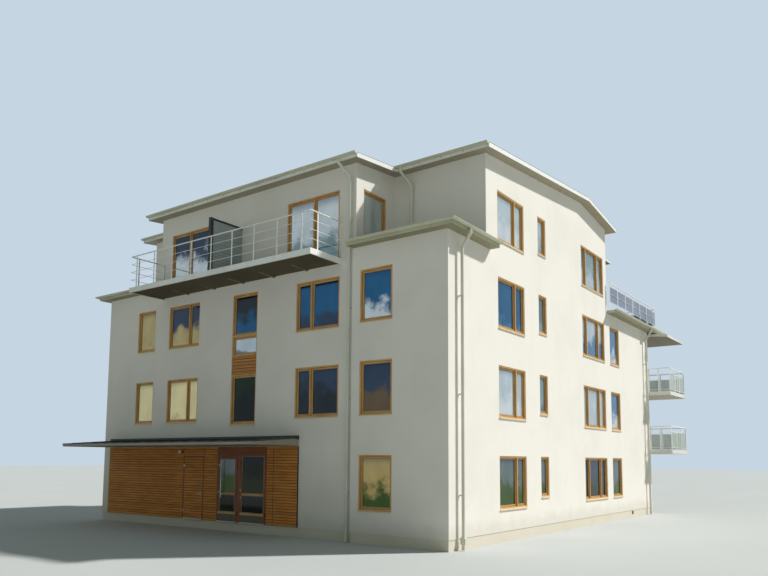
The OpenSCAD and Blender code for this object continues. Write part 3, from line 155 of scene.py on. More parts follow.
class Tree:
    """A node tree in the making. The values handed in are sockets, numbers or colours as they are written"""

    def __init__(self, data, material=None):
        self.nodes, self.links, self.material = data.nodes, data.links, material

    def put(self, socket, value):
        if isinstance(value, bpy.types.NodeSocket):
            self.links.new(value, socket)
        else:
            socket.default_value = shade(value) if isinstance(value, str) else value

    def node(self, kind, *values, **named):
        """A node. Small names are its settings and come first, capitalised ones its sockets;
        values are for its sockets in order"""
        new = self.nodes.new("ShaderNode" + kind)
        for name, value in named.items():
            if name[0].isupper():
                self.put(new.inputs[name.replace("_", " ")], value)
            else:
                setattr(new, name, value)
        for i, value in enumerate(values):
            self.put(new.inputs[i], value)
        return new

    def math(self, operation, *values, clamp=False):
        return self.node("Math", *values, operation=operation, use_clamp=clamp).outputs[0]

    def plus(self, a, b, clamp=False):
        return self.math("ADD", a, b, clamp=clamp)

    def minus(self, a, b):
        return self.math("SUBTRACT", a, b)

    def times(self, a, b):
        return self.math("MULTIPLY", a, b)

    def between(self, value, low, high):
        """1 where value lies between low and high"""
        return self.times(self.math("GREATER_THAN", value, low), self.math("LESS_THAN", value, high))

    def blend(self, factor, a, b):
        new = self.node("Mix", data_type="RGBA")
        for i, value in ((0, factor), (6, a), (7, b)):
            self.put(new.inputs[i], value)
        return new.outputs[2]

    def ramp(self, value, low, high, to_low=0.0, to_high=1.0, smooth=False):
        kind = "SMOOTHSTEP" if smooth else "LINEAR"
        return self.node("MapRange", value, low, high, to_low, to_high, clamp=True, interpolation_type=kind).outputs[0]

    def noise(self, coords, scale, detail=3.0, rough=0.5, stretch=None):
        if stretch:
            coords = self.node("Mapping", Vector=coords, Scale=stretch).outputs[0]
        return self.node("TexNoise", Vector=coords, Scale=scale, Detail=detail, Roughness=rough).outputs[0]

    def split(self, vector):
        return self.node("SeparateXYZ", vector).outputs

    def group(self, group, **named):
        return self.node("Group", node_tree=group, **named).outputs

    def upward(self):
        """How far the surface faces up, from -1 to 1"""
        return self.split(self.node("NewGeometry").outputs["Normal"])["Z"]

    def bump(self, height, strength, distance):
        return self.node("Bump", Strength=strength, Distance=distance, Height=height).outputs[0]

    def surface(self, **named):
        """Sets sockets of the material's shader, and gives back the material"""
        for name, value in named.items():
            self.put(self.nodes["Principled BSDF"].inputs[name.replace("_", " ")], value)
        return self.material


# Shared effects

def new_group(build, inputs, outputs):
    """A node group named after the function that builds it. inputs and outputs list the names by kind"""
    group = bpy.data.node_groups.new(build.__name__, "ShaderNodeTree")
    for in_out, sockets in (("INPUT", inputs), ("OUTPUT", outputs)):
        for kind, names in sockets.items():
            for name in names.split():
                group.interface.new_socket(name, in_out=in_out, socket_type="NodeSocket" + kind)
    tree = Tree(group)
    values = build(tree, tree.nodes.new("NodeGroupInput").outputs)
    for socket, value in zip(tree.nodes.new("NodeGroupOutput").inputs, values):
        tree.put(socket, value)
    return group


def mottle(tree, given):
    """Slow and fine variation of a painted or mineral surface, with rain runs"""
    coords = given["Coords"]
    slow = tree.noise(coords, 0.55, 4.0, 0.55)
    runs = tree.noise(coords, 3.0, 5.0, 0.6, stretch=(1.0, 1.0, 0.09))
    grain = tree.noise(coords, given["Grain"], 3.0, 0.6)
    slow_mask = tree.times(tree.ramp(slow, 0.4, 0.68, smooth=True), given["Slow"])
    runs_mask = tree.times(tree.ramp(runs, 0.52, 0.78, smooth=True), given["Runs"])
    mask = tree.plus(slow_mask, runs_mask, clamp=True)
    return tree.blend(mask, given["Color"], given["Stain"]), grain, mask


def wood_grain(tree, given):
    """Grain of a sawn or planed board that runs along the coordinates' X"""
    shift = tree.node("CombineXYZ", given["Seed"], given["Seed"], given["Seed"]).outputs[0]
    moved = tree.node("VectorMath", given["Coords"], shift, operation="ADD").outputs[0]
    fibres = tree.noise(moved, 30.0, 5.0, 0.65, stretch=(0.05, 1.0, 1.0))
    figure = tree.noise(moved, 7.0, 3.0, 0.5, stretch=(0.08, 1.0, 1.0))
    bands = tree.ramp(tree.math("SINE", tree.times(figure, 34.0)), -1.0, 1.0)
    mask = tree.plus(tree.times(bands, 0.35), tree.times(tree.ramp(fibres, 0.3, 0.7), 0.65), clamp=True)
    return tree.blend(mask, given["Light"], given["Dark"]), fibres, mask


def pane(tree, given):
    """A painted reflection for one window: a lower and an upper colour with a ragged line between them,
    and painted shade that darkens the top of the pane. Outside the window's own rectangle the colour given as Beside
    passes through."""
    up, foot, head = tree.split(given["Coords"])["Z"], given["Foot"], given["Head"]
    inside = tree.times(tree.between(given["Along"], given["Start"], given["End"]), tree.between(up, foot, head))
    height = tree.math("DIVIDE", tree.minus(up, foot), tree.minus(head, foot))
    ragged = tree.minus(tree.noise(given["Coords"], 1.9, 5.0, 0.6), 0.5)
    above = tree.minus(tree.plus(height, ragged), given["Line"])
    seen = tree.blend(tree.ramp(above, -0.12, 0.14, smooth=True), given["Lower"], given["Upper"])
    # Painted shade: the top of the pane darkens towards dark grey, as under the window head
    seen = tree.blend(tree.ramp(height, 0.8, 0.97, 0.0, 0.55, smooth=True), seen, "#2A3238")
    return [tree.blend(inside, given["Beside"], seen)]


MOTTLE = new_group(mottle, {"Vector": "Coords", "Color": "Color Stain", "Float": "Slow Runs Grain"},
    {"Color": "Color", "Float": "Height Tone"})
WOOD = new_group(wood_grain, {"Vector": "Coords", "Color": "Light Dark", "Float": "Seed"},
    {"Color": "Color", "Float": "Height Figure"})
PAINTED_PANE = new_group(pane, {"Vector": "Coords", "Color": "Lower Upper Beside", "Float": "Along Start End Foot Head Line"},
    {"Color": "Color"})


# Materials

def new_material(name):
    made = bpy.data.materials.new(name)
    made.use_nodes = True
    tree = Tree(made.node_tree, made)
    return tree, tree.node("TexCoord").outputs["Object"]


def mottled(name, base, stain, slow, runs, grain, share=None):
    """A material with the mottle as its colour. base is a colour, or a function that builds one.
    With share, the stain is the base colour moved by that share towards the stain given"""
    tree, coords = new_material(name)
    if callable(base):
        base = base(tree, coords)
    if share is not None:
        stain = tree.blend(share, base, stain)
    look = tree.group(MOTTLE, Coords=coords, Color=base, Stain=stain, Slow=slow, Runs=runs, Grain=grain)
    tree.surface(Base_Color=look["Color"])
    return tree, coords, look


def painted(name, base, stain, slow, runs, grain, rough, relief, share=None, alpha=1.0):
    """A mottled coat. rough is the range of the roughness, relief the bump's strength and distance"""
    tree, _, look = mottled(name, base, stain, slow, runs, grain, share)
    return tree.surface(Roughness=tree.ramp(look["Height"], 0.2, 0.8, *rough), Alpha=alpha,
        Normal=tree.bump(look["Height"], *relief))


def metal(name, colour, stain, rough=0.45, slow=0.25, runs=0.3):
    return painted(name, colour, stain, slow, runs, 240.0, (rough - 0.08, rough + 0.1), (0.08, 0.002))


def tinted_panel(name, colour, stain, alpha):
    """A railing's infill panel of cast glass"""
    return painted(name, colour, stain, 0.5, 0.5, 300.0, (0.3, 0.5), (0.05, 0.001), alpha=alpha)


def two_tone(name, mask, first, second, stain):
    """A painted piece with a second colour where mask(tree, coords) is 1"""
    def base(tree, coords):
        return tree.blend(mask(tree, coords), first, second)
    return painted(name, base, stain, 0.4, 0.35, 150.0, (0.52, 0.72), (0.12, 0.003), share=0.6)


def wall_render(name, colour, stain):
    """Through-coloured mineral render: fine grain, faint clouding, rain runs and a splashed foot"""
    tree, coords, look = mottled(name, colour, stain, 0.22, 0.12, 160.0)
    uneven = tree.times(tree.noise(coords, 2.5, 4.0), -0.5)
    splash = tree.ramp(tree.plus(tree.split(coords)["Z"], uneven), 0.1, 0.6, 0.3, 0.0, smooth=True)
    trowel = tree.times(tree.noise(coords, 9.0, 4.0, 0.6), 0.8)
    return tree.surface(Base_Color=tree.blend(splash, look["Color"], "#BFB8A8"),
        Roughness=tree.ramp(look["Tone"], 0.0, 1.0, 0.86, 0.96),
        Normal=tree.bump(tree.plus(look["Height"], trowel), 0.25, 0.004))


def concrete(name, colour, stain):
    tree, coords, look = mottled(name, colour, stain, 0.6, 0.25, 90.0)
    pores = tree.node("TexVoronoi", Vector=coords, Scale=70.0).outputs["Distance"]
    return tree.surface(Roughness=tree.ramp(look["Height"], 0.2, 0.8, 0.75, 0.92),
        Normal=tree.bump(tree.plus(look["Height"], tree.ramp(pores, 0.0, 0.25)), 0.3, 0.003))


def roof_sheet(name, colour, stain):
    tree, coords, look = mottled(name, colour, stain, 0.6, 0.2, 120.0)
    return tree.surface(Roughness=tree.ramp(look["Tone"], 0.0, 0.8, 0.5, 0.75), Metallic=0.35,
        Normal=tree.bump(tree.noise(coords, 4.0, 3.0), 0.12, 0.01))


def brushed_steel(name, colour):
    tree, coords = new_material(name)
    lines = tree.noise(coords, 90.0, 3.0, 0.6, stretch=(1.0, 1.0, 0.04))
    return tree.surface(Base_Color=tree.blend(tree.ramp(lines, 0.3, 0.7), colour, "#8F9292"),
        Roughness=tree.ramp(lines, 0.3, 0.7, 0.24, 0.42), Metallic=1.0, Normal=tree.bump(lines, 0.05, 0.001))


def facing_down(tree, _=None):
    return tree.ramp(tree.upward(), -0.5, -0.3, 1.0, 0.0)


def facing_up(tree):
    return tree.ramp(tree.upward(), 0.5, 0.7)


def low_roof_colour(tree, _):
    """Cream edge boards, a darker soffit and a grey sheet on top"""
    return tree.blend(facing_up(tree), tree.blend(facing_down(tree), "#C6C5AA", "#928D6E"), "#7E8380")


def upper_roof_colour(tree, coords):
    """White verge boards with a thin dark sheet edge, a grey sheet on top and a cream soffit"""
    place = tree.split(coords)
    back = tree.minus(place["Y"], FRONT)
    fall = tree.minus(RIDGE * (FRONT_SLOPE + REAR_SLOPE), tree.times(back, REAR_SLOPE))
    under = tree.plus(tree.math("MINIMUM", tree.times(back, FRONT_SLOPE), fall), FLOOR_4 + ROOF_RISE)
    edge = ROOF_THICK + VERGE_UP - 0.018
    sheet = tree.ramp(tree.minus(place["Z"], under), edge, edge + 0.004)
    boards = tree.blend(facing_down(tree), "#F2F1EC", "#A39C84")
    return tree.blend(tree.math("MAXIMUM", sheet, facing_up(tree)), boards, "#4E5353")


def screen_slats(tree, coords):
    """1 on the slats, 0 on the post and the top rail of the privacy screen"""
    low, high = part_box("privacy_screen")
    post, rail, place = low.y + 0.112, high.z - 0.057, tree.split(coords)
    inner = tree.ramp(place["Y"], post - 0.001, post + 0.001)
    return tree.times(inner, tree.ramp(place["Z"], rail - 0.001, rail + 0.001, 1.0, 0.0))


def under_balcony(tree, coords):
    """1 on the front balcony's underside and beams, 0 on its edge"""
    low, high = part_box("balcony_slab")
    edge, place = 0.055, tree.split(coords)
    inner = tree.times(tree.between(place["X"], low.x + edge, high.x - edge),
        tree.between(place["Y"], low.y + edge, high.y + 1))
    return tree.times(inner, tree.math("LESS_THAN", place["Z"], high.z - 0.02))


def timber(name, light, dark, rough=0.55, upright=True, boards=0.0, rails=()):
    """Oiled softwood. With boards, the tone changes from board to board up the wall.
    rails are the heights of level members over each storey's floor: there the grain of an upright frame turns level"""
    tree, coords = new_material(name)
    along, seed, tone = coords, 0.0, 0.0
    if rails or boards:
        place = tree.split(coords)
        over = tree.minus(place["Z"], GROUND)
    if upright:
        along = tree.node("Mapping", Vector=coords, Rotation=(0, math.radians(90), 0)).outputs[0]
    if rails:
        level = tree.node("CombineXYZ", tree.plus(place["X"], place["Y"]), place["Z"], 0.0).outputs[0]
        height, mask = tree.math("FLOORED_MODULO", over, STOREY), 0.0
        for low, high in rails:
            mask = tree.math("MAXIMUM", mask, tree.between(height, low, high))
        along = tree.blend(mask, along, level)
    if boards:
        row = tree.math("FLOOR", tree.math("DIVIDE", over, boards))
        random = tree.node("TexWhiteNoise", noise_dimensions="1D", W=row).outputs["Value"]
        seed = tree.times(random, 40.0)
        tone = tree.ramp(random, 0.0, 1.0, -0.1, 0.1)
    grain = tree.group(WOOD, Coords=along, Light=light, Dark=dark, Seed=seed)
    value = tree.plus(tree.ramp(tree.noise(coords, 1.3, 4.0, 0.55), 0.3, 0.7, 0.93, 1.06), tone)
    return tree.surface(Base_Color=tree.node("HueSaturation", Value=value, Color=grain["Color"]).outputs[0],
        Roughness=tree.ramp(grain["Figure"], 0.0, 1.0, rough - 0.08, rough + 0.12),
        Normal=tree.bump(grain["Height"], 0.3, 0.002))


# Painted reflections: the colours painted into the panes as what they mirror
PAINTED_REFLECTIONS = {
    "deep sky": "#2B6288", "blue": "#5C86A8", "pale": "#C8D2D4", "cloud": "#DFE3E2", "grey": "#6E7C80",
    "dusk": "#39485A", "teal": "#8FA3A3", "olive": "#415A2C", "bottle green": "#22301C", "warm": "#F4DFA4",
    "sand": "#C4AC74", "shade": "#1D2422", "night": "#0E120E", "brick": "#6E5A44", "roof": "#2E3438"}


def glazing(name, windows, across, plain, gloss=0.6):
    """Coated glazing whose colour is a painted reflection. windows are (start, end, foot, head, line, lower, upper)
    along the face's axis, and plain is the pair of colours painted as the reflection in every other pane"""
    tree, coords = new_material(name)
    along = tree.split(coords)[across]
    # Painted reflection of clouds: soft patches between the two plain colours
    cloud_reflection = tree.ramp(tree.noise(coords, 0.6, 4.0, 0.55, stretch=(1.0, 1.0, 1.6)), 0.44, 0.62, smooth=True)
    colour = tree.blend(cloud_reflection, PAINTED_REFLECTIONS[plain[0]], PAINTED_REFLECTIONS[plain[1]])
    for start, end, foot, head, line, lower, upper in windows:
        colour = tree.group(PAINTED_PANE, Coords=coords, Along=along, Start=start, End=end, Foot=foot, Head=head,
            Line=line, Lower=PAINTED_REFLECTIONS[lower], Upper=PAINTED_REFLECTIONS[upper], Beside=colour)["Color"]
    streaks = tree.ramp(tree.noise(coords, 2.3, 4.0, 0.6, stretch=(1.0, 1.0, 0.5)), 0.3, 0.7, 0.86, 1.1)
    return tree.surface(Base_Color=tree.node("HueSaturation", Value=streaks, Color=colour).outputs[0],
        Roughness=tree.ramp(tree.noise(coords, 7.0, 4.0), 0.3, 0.8, 0.04, 0.09), Metallic=gloss, IOR=1.52,
        Specular_IOR_Level=0.3, Normal=tree.bump(tree.noise(coords, 0.9, 1.0), 0.04, 0.02))


def storey_span(n):
    """Foot and head of the windows of storey n"""
    return floor_z(n) + SILL - 0.2, floor_z(n) + HEAD + 0.05


def front_pane_reflections():
    """Painted reflections in the front's windows, by column from left to right"""
    ground, second, third = storey_span(1), storey_span(2), storey_span(3)
    doors, screen = (FLOOR_4 - 0.1, FLOOR_4 + HEAD), (FLOOR_4, FLOOR_4 + HEAD + 0.6)
    stair = (7.1, 8.4)
    looks = [
        ((1.8, 3.0), third, 0.15, "dusk", "sand"), ((1.8, 3.0), second, 0.05, "dusk", "warm"),
        ((3.7, 5.5), third, 0.42, "sand", "dusk"), ((3.7, 5.5), second, 0.1, "sand", "warm"),
        (stair, (5.75, 6.5), 0.2, "grey", "pale"), (stair, (6.5, 7.95), 0.4, "deep sky", "roof"),
        (stair, (3.4, 5.3), 0.6, "shade", "bottle green"),
        ((10.0, 11.9), third, 0.3, "dusk", "deep sky"), ((10.0, 11.9), second, 0.6, "roof", "dusk"),
        ((12.7, 14.0), third, 0.36, "cloud", "deep sky"), ((12.7, 14.0), second, 0.5, "brick", "dusk"),
        ((12.7, 14.0), ground, 0.42, "olive", "sand"),
        ((3.7, 5.9), doors, 0.58, "cloud", "dusk"), ((9.5, 11.9), doors, 0.42, "teal", "cloud"),
        ((12.2, 12.6), screen, 0.3, "pale", "pale"), ((3.0, 3.3), screen, 0.3, "teal", "grey")]
    return [(LEFT + start, LEFT + end, *span, *look) for (start, end), span, *look in looks]


def door_pane_reflections():
    """Painted reflections in the entrance doors: a pale patch in the left leaf, dark green in the right one"""
    bar = GROUND + MID_RAIL[0]
    looks = [
        ("left", bar, GROUND + CLAD_TOP, 0.42, "olive", "grey"), ("left", GROUND, bar, 0.45, "bottle green", "night"),
        ("right", bar, GROUND + CLAD_TOP, 0.35, "bottle green", "night"), ("right", GROUND, bar, 0.6, "night", "shade")]
    return [(LEFT + LEAVES[leaf][0], LEFT + LEAVES[leaf][0] + LEAVES[leaf][1], *look) for leaf, *look in looks]


def side_pane_reflections():
    """Painted reflections in the sunny side's windows, by storey and column"""
    columns = [(2.8, 4.9), (5.7, 6.6), (9.7, 12.3), (12.7, 14.1)]
    looks = [
        ((0.5, "olive", "grey"), (0.5, "olive", "grey"), (0.4, "bottle green", "dusk"), (0.4, "olive", "grey")),
        ((0.4, "cloud", "pale"), (0.5, "grey", "teal"), (0.3, "pale", "pale"), (0.4, "cloud", "blue")),
        ((0.2, "blue", "deep sky"), (0.5, "teal", "grey"), (0.5, "blue", "pale"), (0.35, "cloud", "blue")),
        ((0.5, "cloud", "pale"), (0.5, "teal", "pale"), (0.5, "pale", "teal"))]
    return [(FRONT + start, FRONT + end, *storey_span(storey), *look)
            for storey, row in enumerate(looks, start=1) for (start, end), look in zip(columns, row)]


M = {
    "wall": wall_render("wall_render", "#F1ECE3", "#D8D3C7"),
    "plinth": wall_render("plinth_render", "#E9E1CF", "#CFC5B1"),
    "slab": concrete("floor_concrete", "#A5A29A", "#7C7A73"),
    "frame": timber("window_timber", "#E4B976", "#BC8848", rails=((SILL, SILL + 0.1), (HEAD - 0.1, HEAD))),
    "door": timber("door_timber", "#94501E", "#66340F", rough=0.5, rails=((2.03, 2.6),)),
    "boards": timber("cladding_boards", "#E59A42", "#BC7428", rough=0.68, upright=False, boards=BOARD_PITCH),
    "header": timber("header_board", "#9C5620", "#70380F", rough=0.6, upright=False),
    "bead": timber("glazing_bead", "#D8B07A", "#B98B54", rough=0.5,
        rails=((KICK - 0.06, KICK + 0.06), (MID_RAIL[0] - 0.02, MID_RAIL[1] + 0.02))),
    "panel": timber("panel_boards", "#D08C3C", "#A2682A", upright=False, boards=0.105),
    # Near-black backing: painted shade in the gaps between the boards
    "gap_shade_backing": concrete("board_backing_gap_shade", "#2B2019", "#1B1512"),
    "dark_trim": metal("dark_trim", "#3B2A20", "#241A14", rough=0.6),
    # The glass colours below are painted reflections
    "front_glass": glazing("front_glass_pane", front_pane_reflections(), "X", ("grey", "teal")),
    "right_glass": glazing("right_glass_pane", side_pane_reflections(), "Y", ("blue", "pale")),
    "rear_glass": glazing("rear_glass_pane", [], "X", ("blue", "pale")),
    "left_glass": glazing("left_glass_pane", [], "Y", ("dusk", "blue")),
    "door_glass": glazing("door_glass_pane", door_pane_reflections(), "X", ("night", "night"), gloss=0.3),
    "sill": metal("sill_sheet", "#E6D6B4", "#B3A486", rough=0.4),
    "white": metal("white_metal", "#F4F4EF", "#C4C3BB", rough=0.42, slow=0.15, runs=0.2),
    "pipe": metal("pipe_paint", "#DDDCCE", "#ABAA99"),
    "gutter": metal("gutter_paint", "#CBCBB2", "#9B9B82"),
    "fascia": metal("canopy_fascia", "#A9A48E", "#7C7765", rough=0.6),
    "soffit": timber("canopy_soffit", "#9C8C6C", "#7A6B50", rough=0.7, upright=False),
    "balcony": two_tone("balcony_finish", under_balcony, "#F8F9F4", "#6A6042", "#A9A698"),
    "screen": two_tone("screen_finish", screen_slats, "#2C2C2C", "#A9B3B3", "#6E7474"),
    "upper_roof": painted("upper_roof_finish", upper_roof_colour, "#8F8C80", 0.3, 0.35, 120.0, (0.42, 0.6),
        (0.1, 0.002), share=0.5),
    "low_roof": painted("low_roof_finish", low_roof_colour, "#837F73", 0.4, 0.35, 150.0, (0.5, 0.7),
        (0.12, 0.003), share=0.5),
    "rear_slab": two_tone("rear_slab_finish", facing_down, "#E4E2DA", "#B5AE9E", "#8F8B7F"),
    "rear_roof": two_tone("rear_roof_finish", facing_down, "#E4E2DA", "#7A6E5C", "#8F8B7F"),
    "apron": metal("apron_sheet", "#A9A99C", "#7D7D72", rough=0.5),
    "lining": metal("balcony_lining", "#544C32", "#3C3626", rough=0.75),
    "dark_sheet": roof_sheet("dark_sheet", "#3C3F40", "#55554F"),
    "frosted": tinted_panel("frosted_panel", "#CBD5CC", "#A2AEA2", 0.6),
    "lilac": tinted_panel("terrace_panel", "#8E97AE", "#6F7890", 0.82),
    "deck": timber("deck_boards", "#9A9384", "#77705F", rough=0.75, upright=False),
    "kick": metal("kick_plate", "#57512F", "#3B371F", rough=0.5),
    "alloy": brushed_steel("bright_alloy", "#DADCDC"),
    "gasket": metal("glass_gasket", "#2A2B2B", "#1C1D1D", rough=0.7),
    "steel": brushed_steel("brushed_steel", "#B9BCBC"),
    "lamp": metal("lamp_glass", "#E9E6DA", "#C9C4B2", rough=0.3),
}

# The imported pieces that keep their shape, by finish
FINISH = {
    "wall": "front_wall entrance_walls door_lintel front_corner_wall right_wall left_wall rear_wall upper_front_wall "
            "notch_walls set_back_walls upper_right_wall upper_left_wall upper_rear_wall",
    "plinth": "plinth",
    "slab": "ground_floor second_floor third_floor fourth_floor",
    "frame": "front_window_frames right_window_frames left_window_frames rear_window_frames",
    "front_glass": "front_glass", "right_glass": "right_glass", "left_glass": "left_glass", "rear_glass": "rear_glass",
    "door_glass": "entrance_glass_left entrance_glass_right",
    "sill": "window_sills",
    "door": "door_frames entrance_leaf_left entrance_leaf_right",
    "steel": "door_handles_left door_handles_right service_handle",
    "balcony": "balcony_slab",
    "white": "balcony_railing terrace_railing rear_railings",
    "screen": "privacy_screen",
    "upper_roof": "upper_roof",
    "pipe": "downpipes terrace_downpipes",
    "gutter": "upper_gutters lower_gutters",
    "low_roof": "lower_roofs",
    "rear_slab": "rear_balconies",
    "rear_roof": "rear_balcony_roof",
}


def dress_frame():
    for finish_name, pieces in FINISH.items():
        for name in pieces.split():
            paint(NODES[name], finish_name)


# Modelling helpers

def paint(made, material):
    made.data.materials.clear()
    made.data.materials.append(M[material])


def select_only(parts):
    bpy.ops.object.select_all(action="DESELECT")
    for part in parts:
        part.select_set(True)
    bpy.context.view_layer.objects.active = parts[0]


def settled(ease=0, segments=1):
    """The primitive just added, with its place moved into its mesh and its edges eased"""
    bpy.ops.object.transform_apply(location=True, rotation=True, scale=True)
    if ease:
        bpy.ops.object.mode_set(mode="EDIT")
        bpy.ops.mesh.select_all(action="SELECT")
        bpy.ops.mesh.bevel(offset=ease, segments=segments, affect="EDGES")
        bpy.ops.object.mode_set(mode="OBJECT")
    return bpy.context.object


def block(x0, x1, y0, y1, z0, z1, ease=0.0015):
    """A board or bar with eased edges"""
    low, high = Vector((x0, y0, z0)), Vector((x1, y1, z1))
    bpy.ops.mesh.primitive_cube_add(size=1, location=(low + high) / 2, scale=high - low)
    return settled(ease)


def entry_block(x0, x1, y0, y1, z0, z1, ease=0.0015):
    """A block on the entrance: x from the front's left corner, y in from the boards' face, z over the floor"""
    return block(LEFT + x0, LEFT + x1, CLAD_FACE + y0, CLAD_FACE + y1, GROUND + z0, GROUND + z1, ease)


def frame_ring(make, x0, x1, y0, y1, z0, z1, width, ease=0.001):
    """A rectangular ring of four bars, each made by make"""
    return [make(x0, x0 + width, y0, y1, z0, z1, ease), make(x1 - width, x1, y0, y1, z0, z1, ease),
            make(x0 + width, x1 - width, y0, y1, z0, z0 + width, ease),
            make(x0 + width, x1 - width, y0, y1, z1 - width, z1, ease)]


def cylinder(radius, depth, place, ease=0, segments=1, vertices=32, turn=90):
    """A cylinder whose axis runs inwards, or upwards with no turn"""
    bpy.ops.mesh.primitive_cylinder_add(vertices=vertices, radius=radius, depth=depth, location=place,
        rotation=(math.radians(turn), 0, 0))
    return settled(ease, segments)


def wedge(x0, x1, y0, y1, z0, z1, drop):
    """A block whose top falls by drop towards its front"""
    made, near = block(x0, x1, y0, y1, z0, z1, 0), 0.0005
    for vertex in made.data.vertices:
        if vertex.co.z > z1 - near and vertex.co.y < y0 + near:
            vertex.co.z -= drop
    return made


def sloped(made, slope, y0=0.0):
    """made, leaned so that it rises by slope from y0 backwards"""
    made.data.transform(Matrix(((1, 0, 0, 0), (0, 1, 0, 0), (0, slope, 1, -slope * y0), (0, 0, 0, 1))))
    return made


def repeat(made, step, count):
    """count copies, each moved on by step"""
    array = made.modifiers.new("repeat", "ARRAY")
    array.use_relative_offset = False
    array.use_constant_offset = True
    array.constant_offset_displace = step
    array.count = count
    select_only([made])
    bpy.ops.object.modifier_apply(modifier=array.name)
    return made


def joined(parts):
    """One piece out of several"""
    select_only(parts)
    if len(parts) > 1:
        bpy.ops.object.join()
    return parts[0]


def placed(made, places):
    """made, copied to each of the places (matrices), as one piece"""
    copies = []
    for place in places:
        copy = made.copy()
        copy.data = made.data.copy()
        bpy.context.scene.collection.objects.link(copy)
        copy.data.transform(place)
        copies.append(copy)
    bpy.data.objects.remove(made)
    return joined(copies)


def finish(parts, name, material, slot, body="house", replaces=()):
    made = joined(parts)
    made.name = made.data.name = name
    paint(made, material)
    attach(made, body)
    if replaces:
        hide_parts(*replaces)


# Entrance cladding: boards 73 mm wide on a backing painted near-black as shade in the 15 mm gaps between them

def board_rows(x0, x1, z0, z1, y=CLAD_FACE, pitch=BOARD_PITCH, base=GROUND):
    """Horizontal boards from x0 to x1, cut at z0 and z1, on rows that start at base"""
    parts = []
    first = math.floor((z0 - base) / pitch + 0.001)
    last = math.ceil((z1 - base) / pitch - 0.001)
    for row in range(first, last):
        low = max(z0, base + row * pitch + BOARD_GAP / 2)
        high = min(z1, base + (row + 1) * pitch - BOARD_GAP / 2)
        if high - low > 0.01:
            parts.append(block(x0, x1, y, y + BOARD_THICK, low, high, 0.003))
    return parts


def entrance_boards():
    lintel, header, seam = SERVICE_H + JAMB, ENTRANCE_H + JAMB, 0.008
    service_end, entrance_end = SERVICE_X + SERVICE_W, ENTRANCE_X + ENTRANCE_W
    boards, gap_shade_backing = [], []
    for x0, x1, foot in ((CLAD_ENDS[0], SERVICE_X, 0), (service_end, ENTRANCE_X, 0), (SERVICE_X, service_end, lintel),
                         (entrance_end, CLAD_SEAM, 0), (CLAD_SEAM, CLAD_ENDS[1], 0)):
        boards += board_rows(LEFT + x0 + seam, LEFT + x1 - seam, GROUND + foot, GROUND + CLAD_TOP)
        gap_shade_backing.append(entry_block(x0, x1, BOARD_BACK, CLAD_THICK, foot, CLAD_TOP, 0))
    gap_shade_backing.append(entry_block(ENTRANCE_X, entrance_end, BOARD_BACK, CLAD_THICK, header, CLAD_TOP, 0))
    finish(boards, "cladding_boards", "boards", "cladding", replaces=("entrance_cladding", "cladding_header"))
    finish(gap_shade_backing, "cladding_backing", "gap_shade_backing", "cladding")
    board = entry_block(ENTRANCE_X + 0.004, entrance_end - 0.004, 0.002, BOARD_THICK,
        header + 0.003, CLAD_TOP, 0.003)
    finish([board], "header_board", "header", "cladding")
    trims = [entry_block(x - 0.011, x + 0.011, 0.001, 0.02, 0, CLAD_TOP, 0.001)
             for x in (SERVICE_X - 0.002, service_end + 0.002, CLAD_SEAM)]
    for x0, x1 in ((CLAD_ENDS[0], CLAD_ENDS[0] + 0.012), (CLAD_ENDS[1] - 0.012, CLAD_ENDS[1])):
        trims.append(entry_block(x0, x1, 0, 0.03, 0, CLAD_TOP, 0.001))
    finish(trims, "cladding_trims", "dark_trim", "cladding")


def stair_panel_boards():
    """The boarded panel between the stair window's lights"""
    x0, x1, y = LEFT + STAIR_X, LEFT + STAIR_X + STAIR_W, MAIN + REVEAL
    z0, z1 = STAIR_PANEL
    boards = board_rows(x0 + 0.002, x1 - 0.002, z0, z1, y=y, pitch=(z1 - z0) / 6, base=z0)
    finish(boards, "stair_panel_boards", "panel", "timber", replaces=("stair_panel",))
    # Painted shade: the backing is near-black so the gaps between the panel boards read as shadow
    gap_shade_backing = block(x0, x1, y + BOARD_BACK, y + FRAME_DEPTH, z0, z1, 0)
    finish([gap_shade_backing], "stair_panel_backing", "gap_shade_backing", "timber")


# Doors

def entrance_leaf_trims():
    """Glazing beads, gaskets, a capped middle rail and a kick plate on each glazed leaf"""
    bead, gasket = 0.014, 0.005
    for side, (start, width, stile, rail) in LEAVES.items():
        body, end = side + "_door", start + width
        x0, x1 = start + LEAF_GAP + stile, end - LEAF_GAP - stile
        beads, gaskets = [], []
        for z0, z1 in ((KICK, MID_RAIL[0]), (MID_RAIL[1], ENTRANCE_H - LEAF_GAP - rail)):
            beads += frame_ring(entry_block, x0, x1, 0.003, 0.0125, z0, z1, bead)
            gaskets += frame_ring(entry_block, x0 + bead, x1 - bead, 0.009, 0.0128, z0 + bead, z1 - bead, gasket, 0)
        beads.append(entry_block(x0 - 0.01, x1 + 0.01, -0.004, 0.001, MID_RAIL[0] + 0.006, MID_RAIL[1] - 0.006))
        beads.append(entry_block(start + LEAF_GAP, end - LEAF_GAP, -0.004, 0.001, KICK - 0.075, KICK - 0.004))
        finish(beads, side + "_leaf_beads", "bead", "door_timber", body)
        finish(gaskets, side + "_leaf_gaskets", "gasket", "door_timber", body)
        plate = entry_block(start + 0.02, end - 0.02, -0.003, 0.001, 0.045, KICK - 0.085, 0.001)
        finish([plate], side + "_kick_plate", "kick", "door_timber", body)


def door_lock():
    """A cylinder lock in its round rose, on the right leaf"""
    x, z = LOCK
    rose = cylinder(0.022, 0.008, (LEFT + x, CLAD_FACE - 0.004, GROUND + z), 0.002, 2)
    barrel = entry_block(x - 0.0085, x + 0.0085, -0.012, -0.004, z - 0.015, z + 0.015, 0.003)
    finish([rose, barrel], "entrance_lock", "steel", "steel", "right_door")


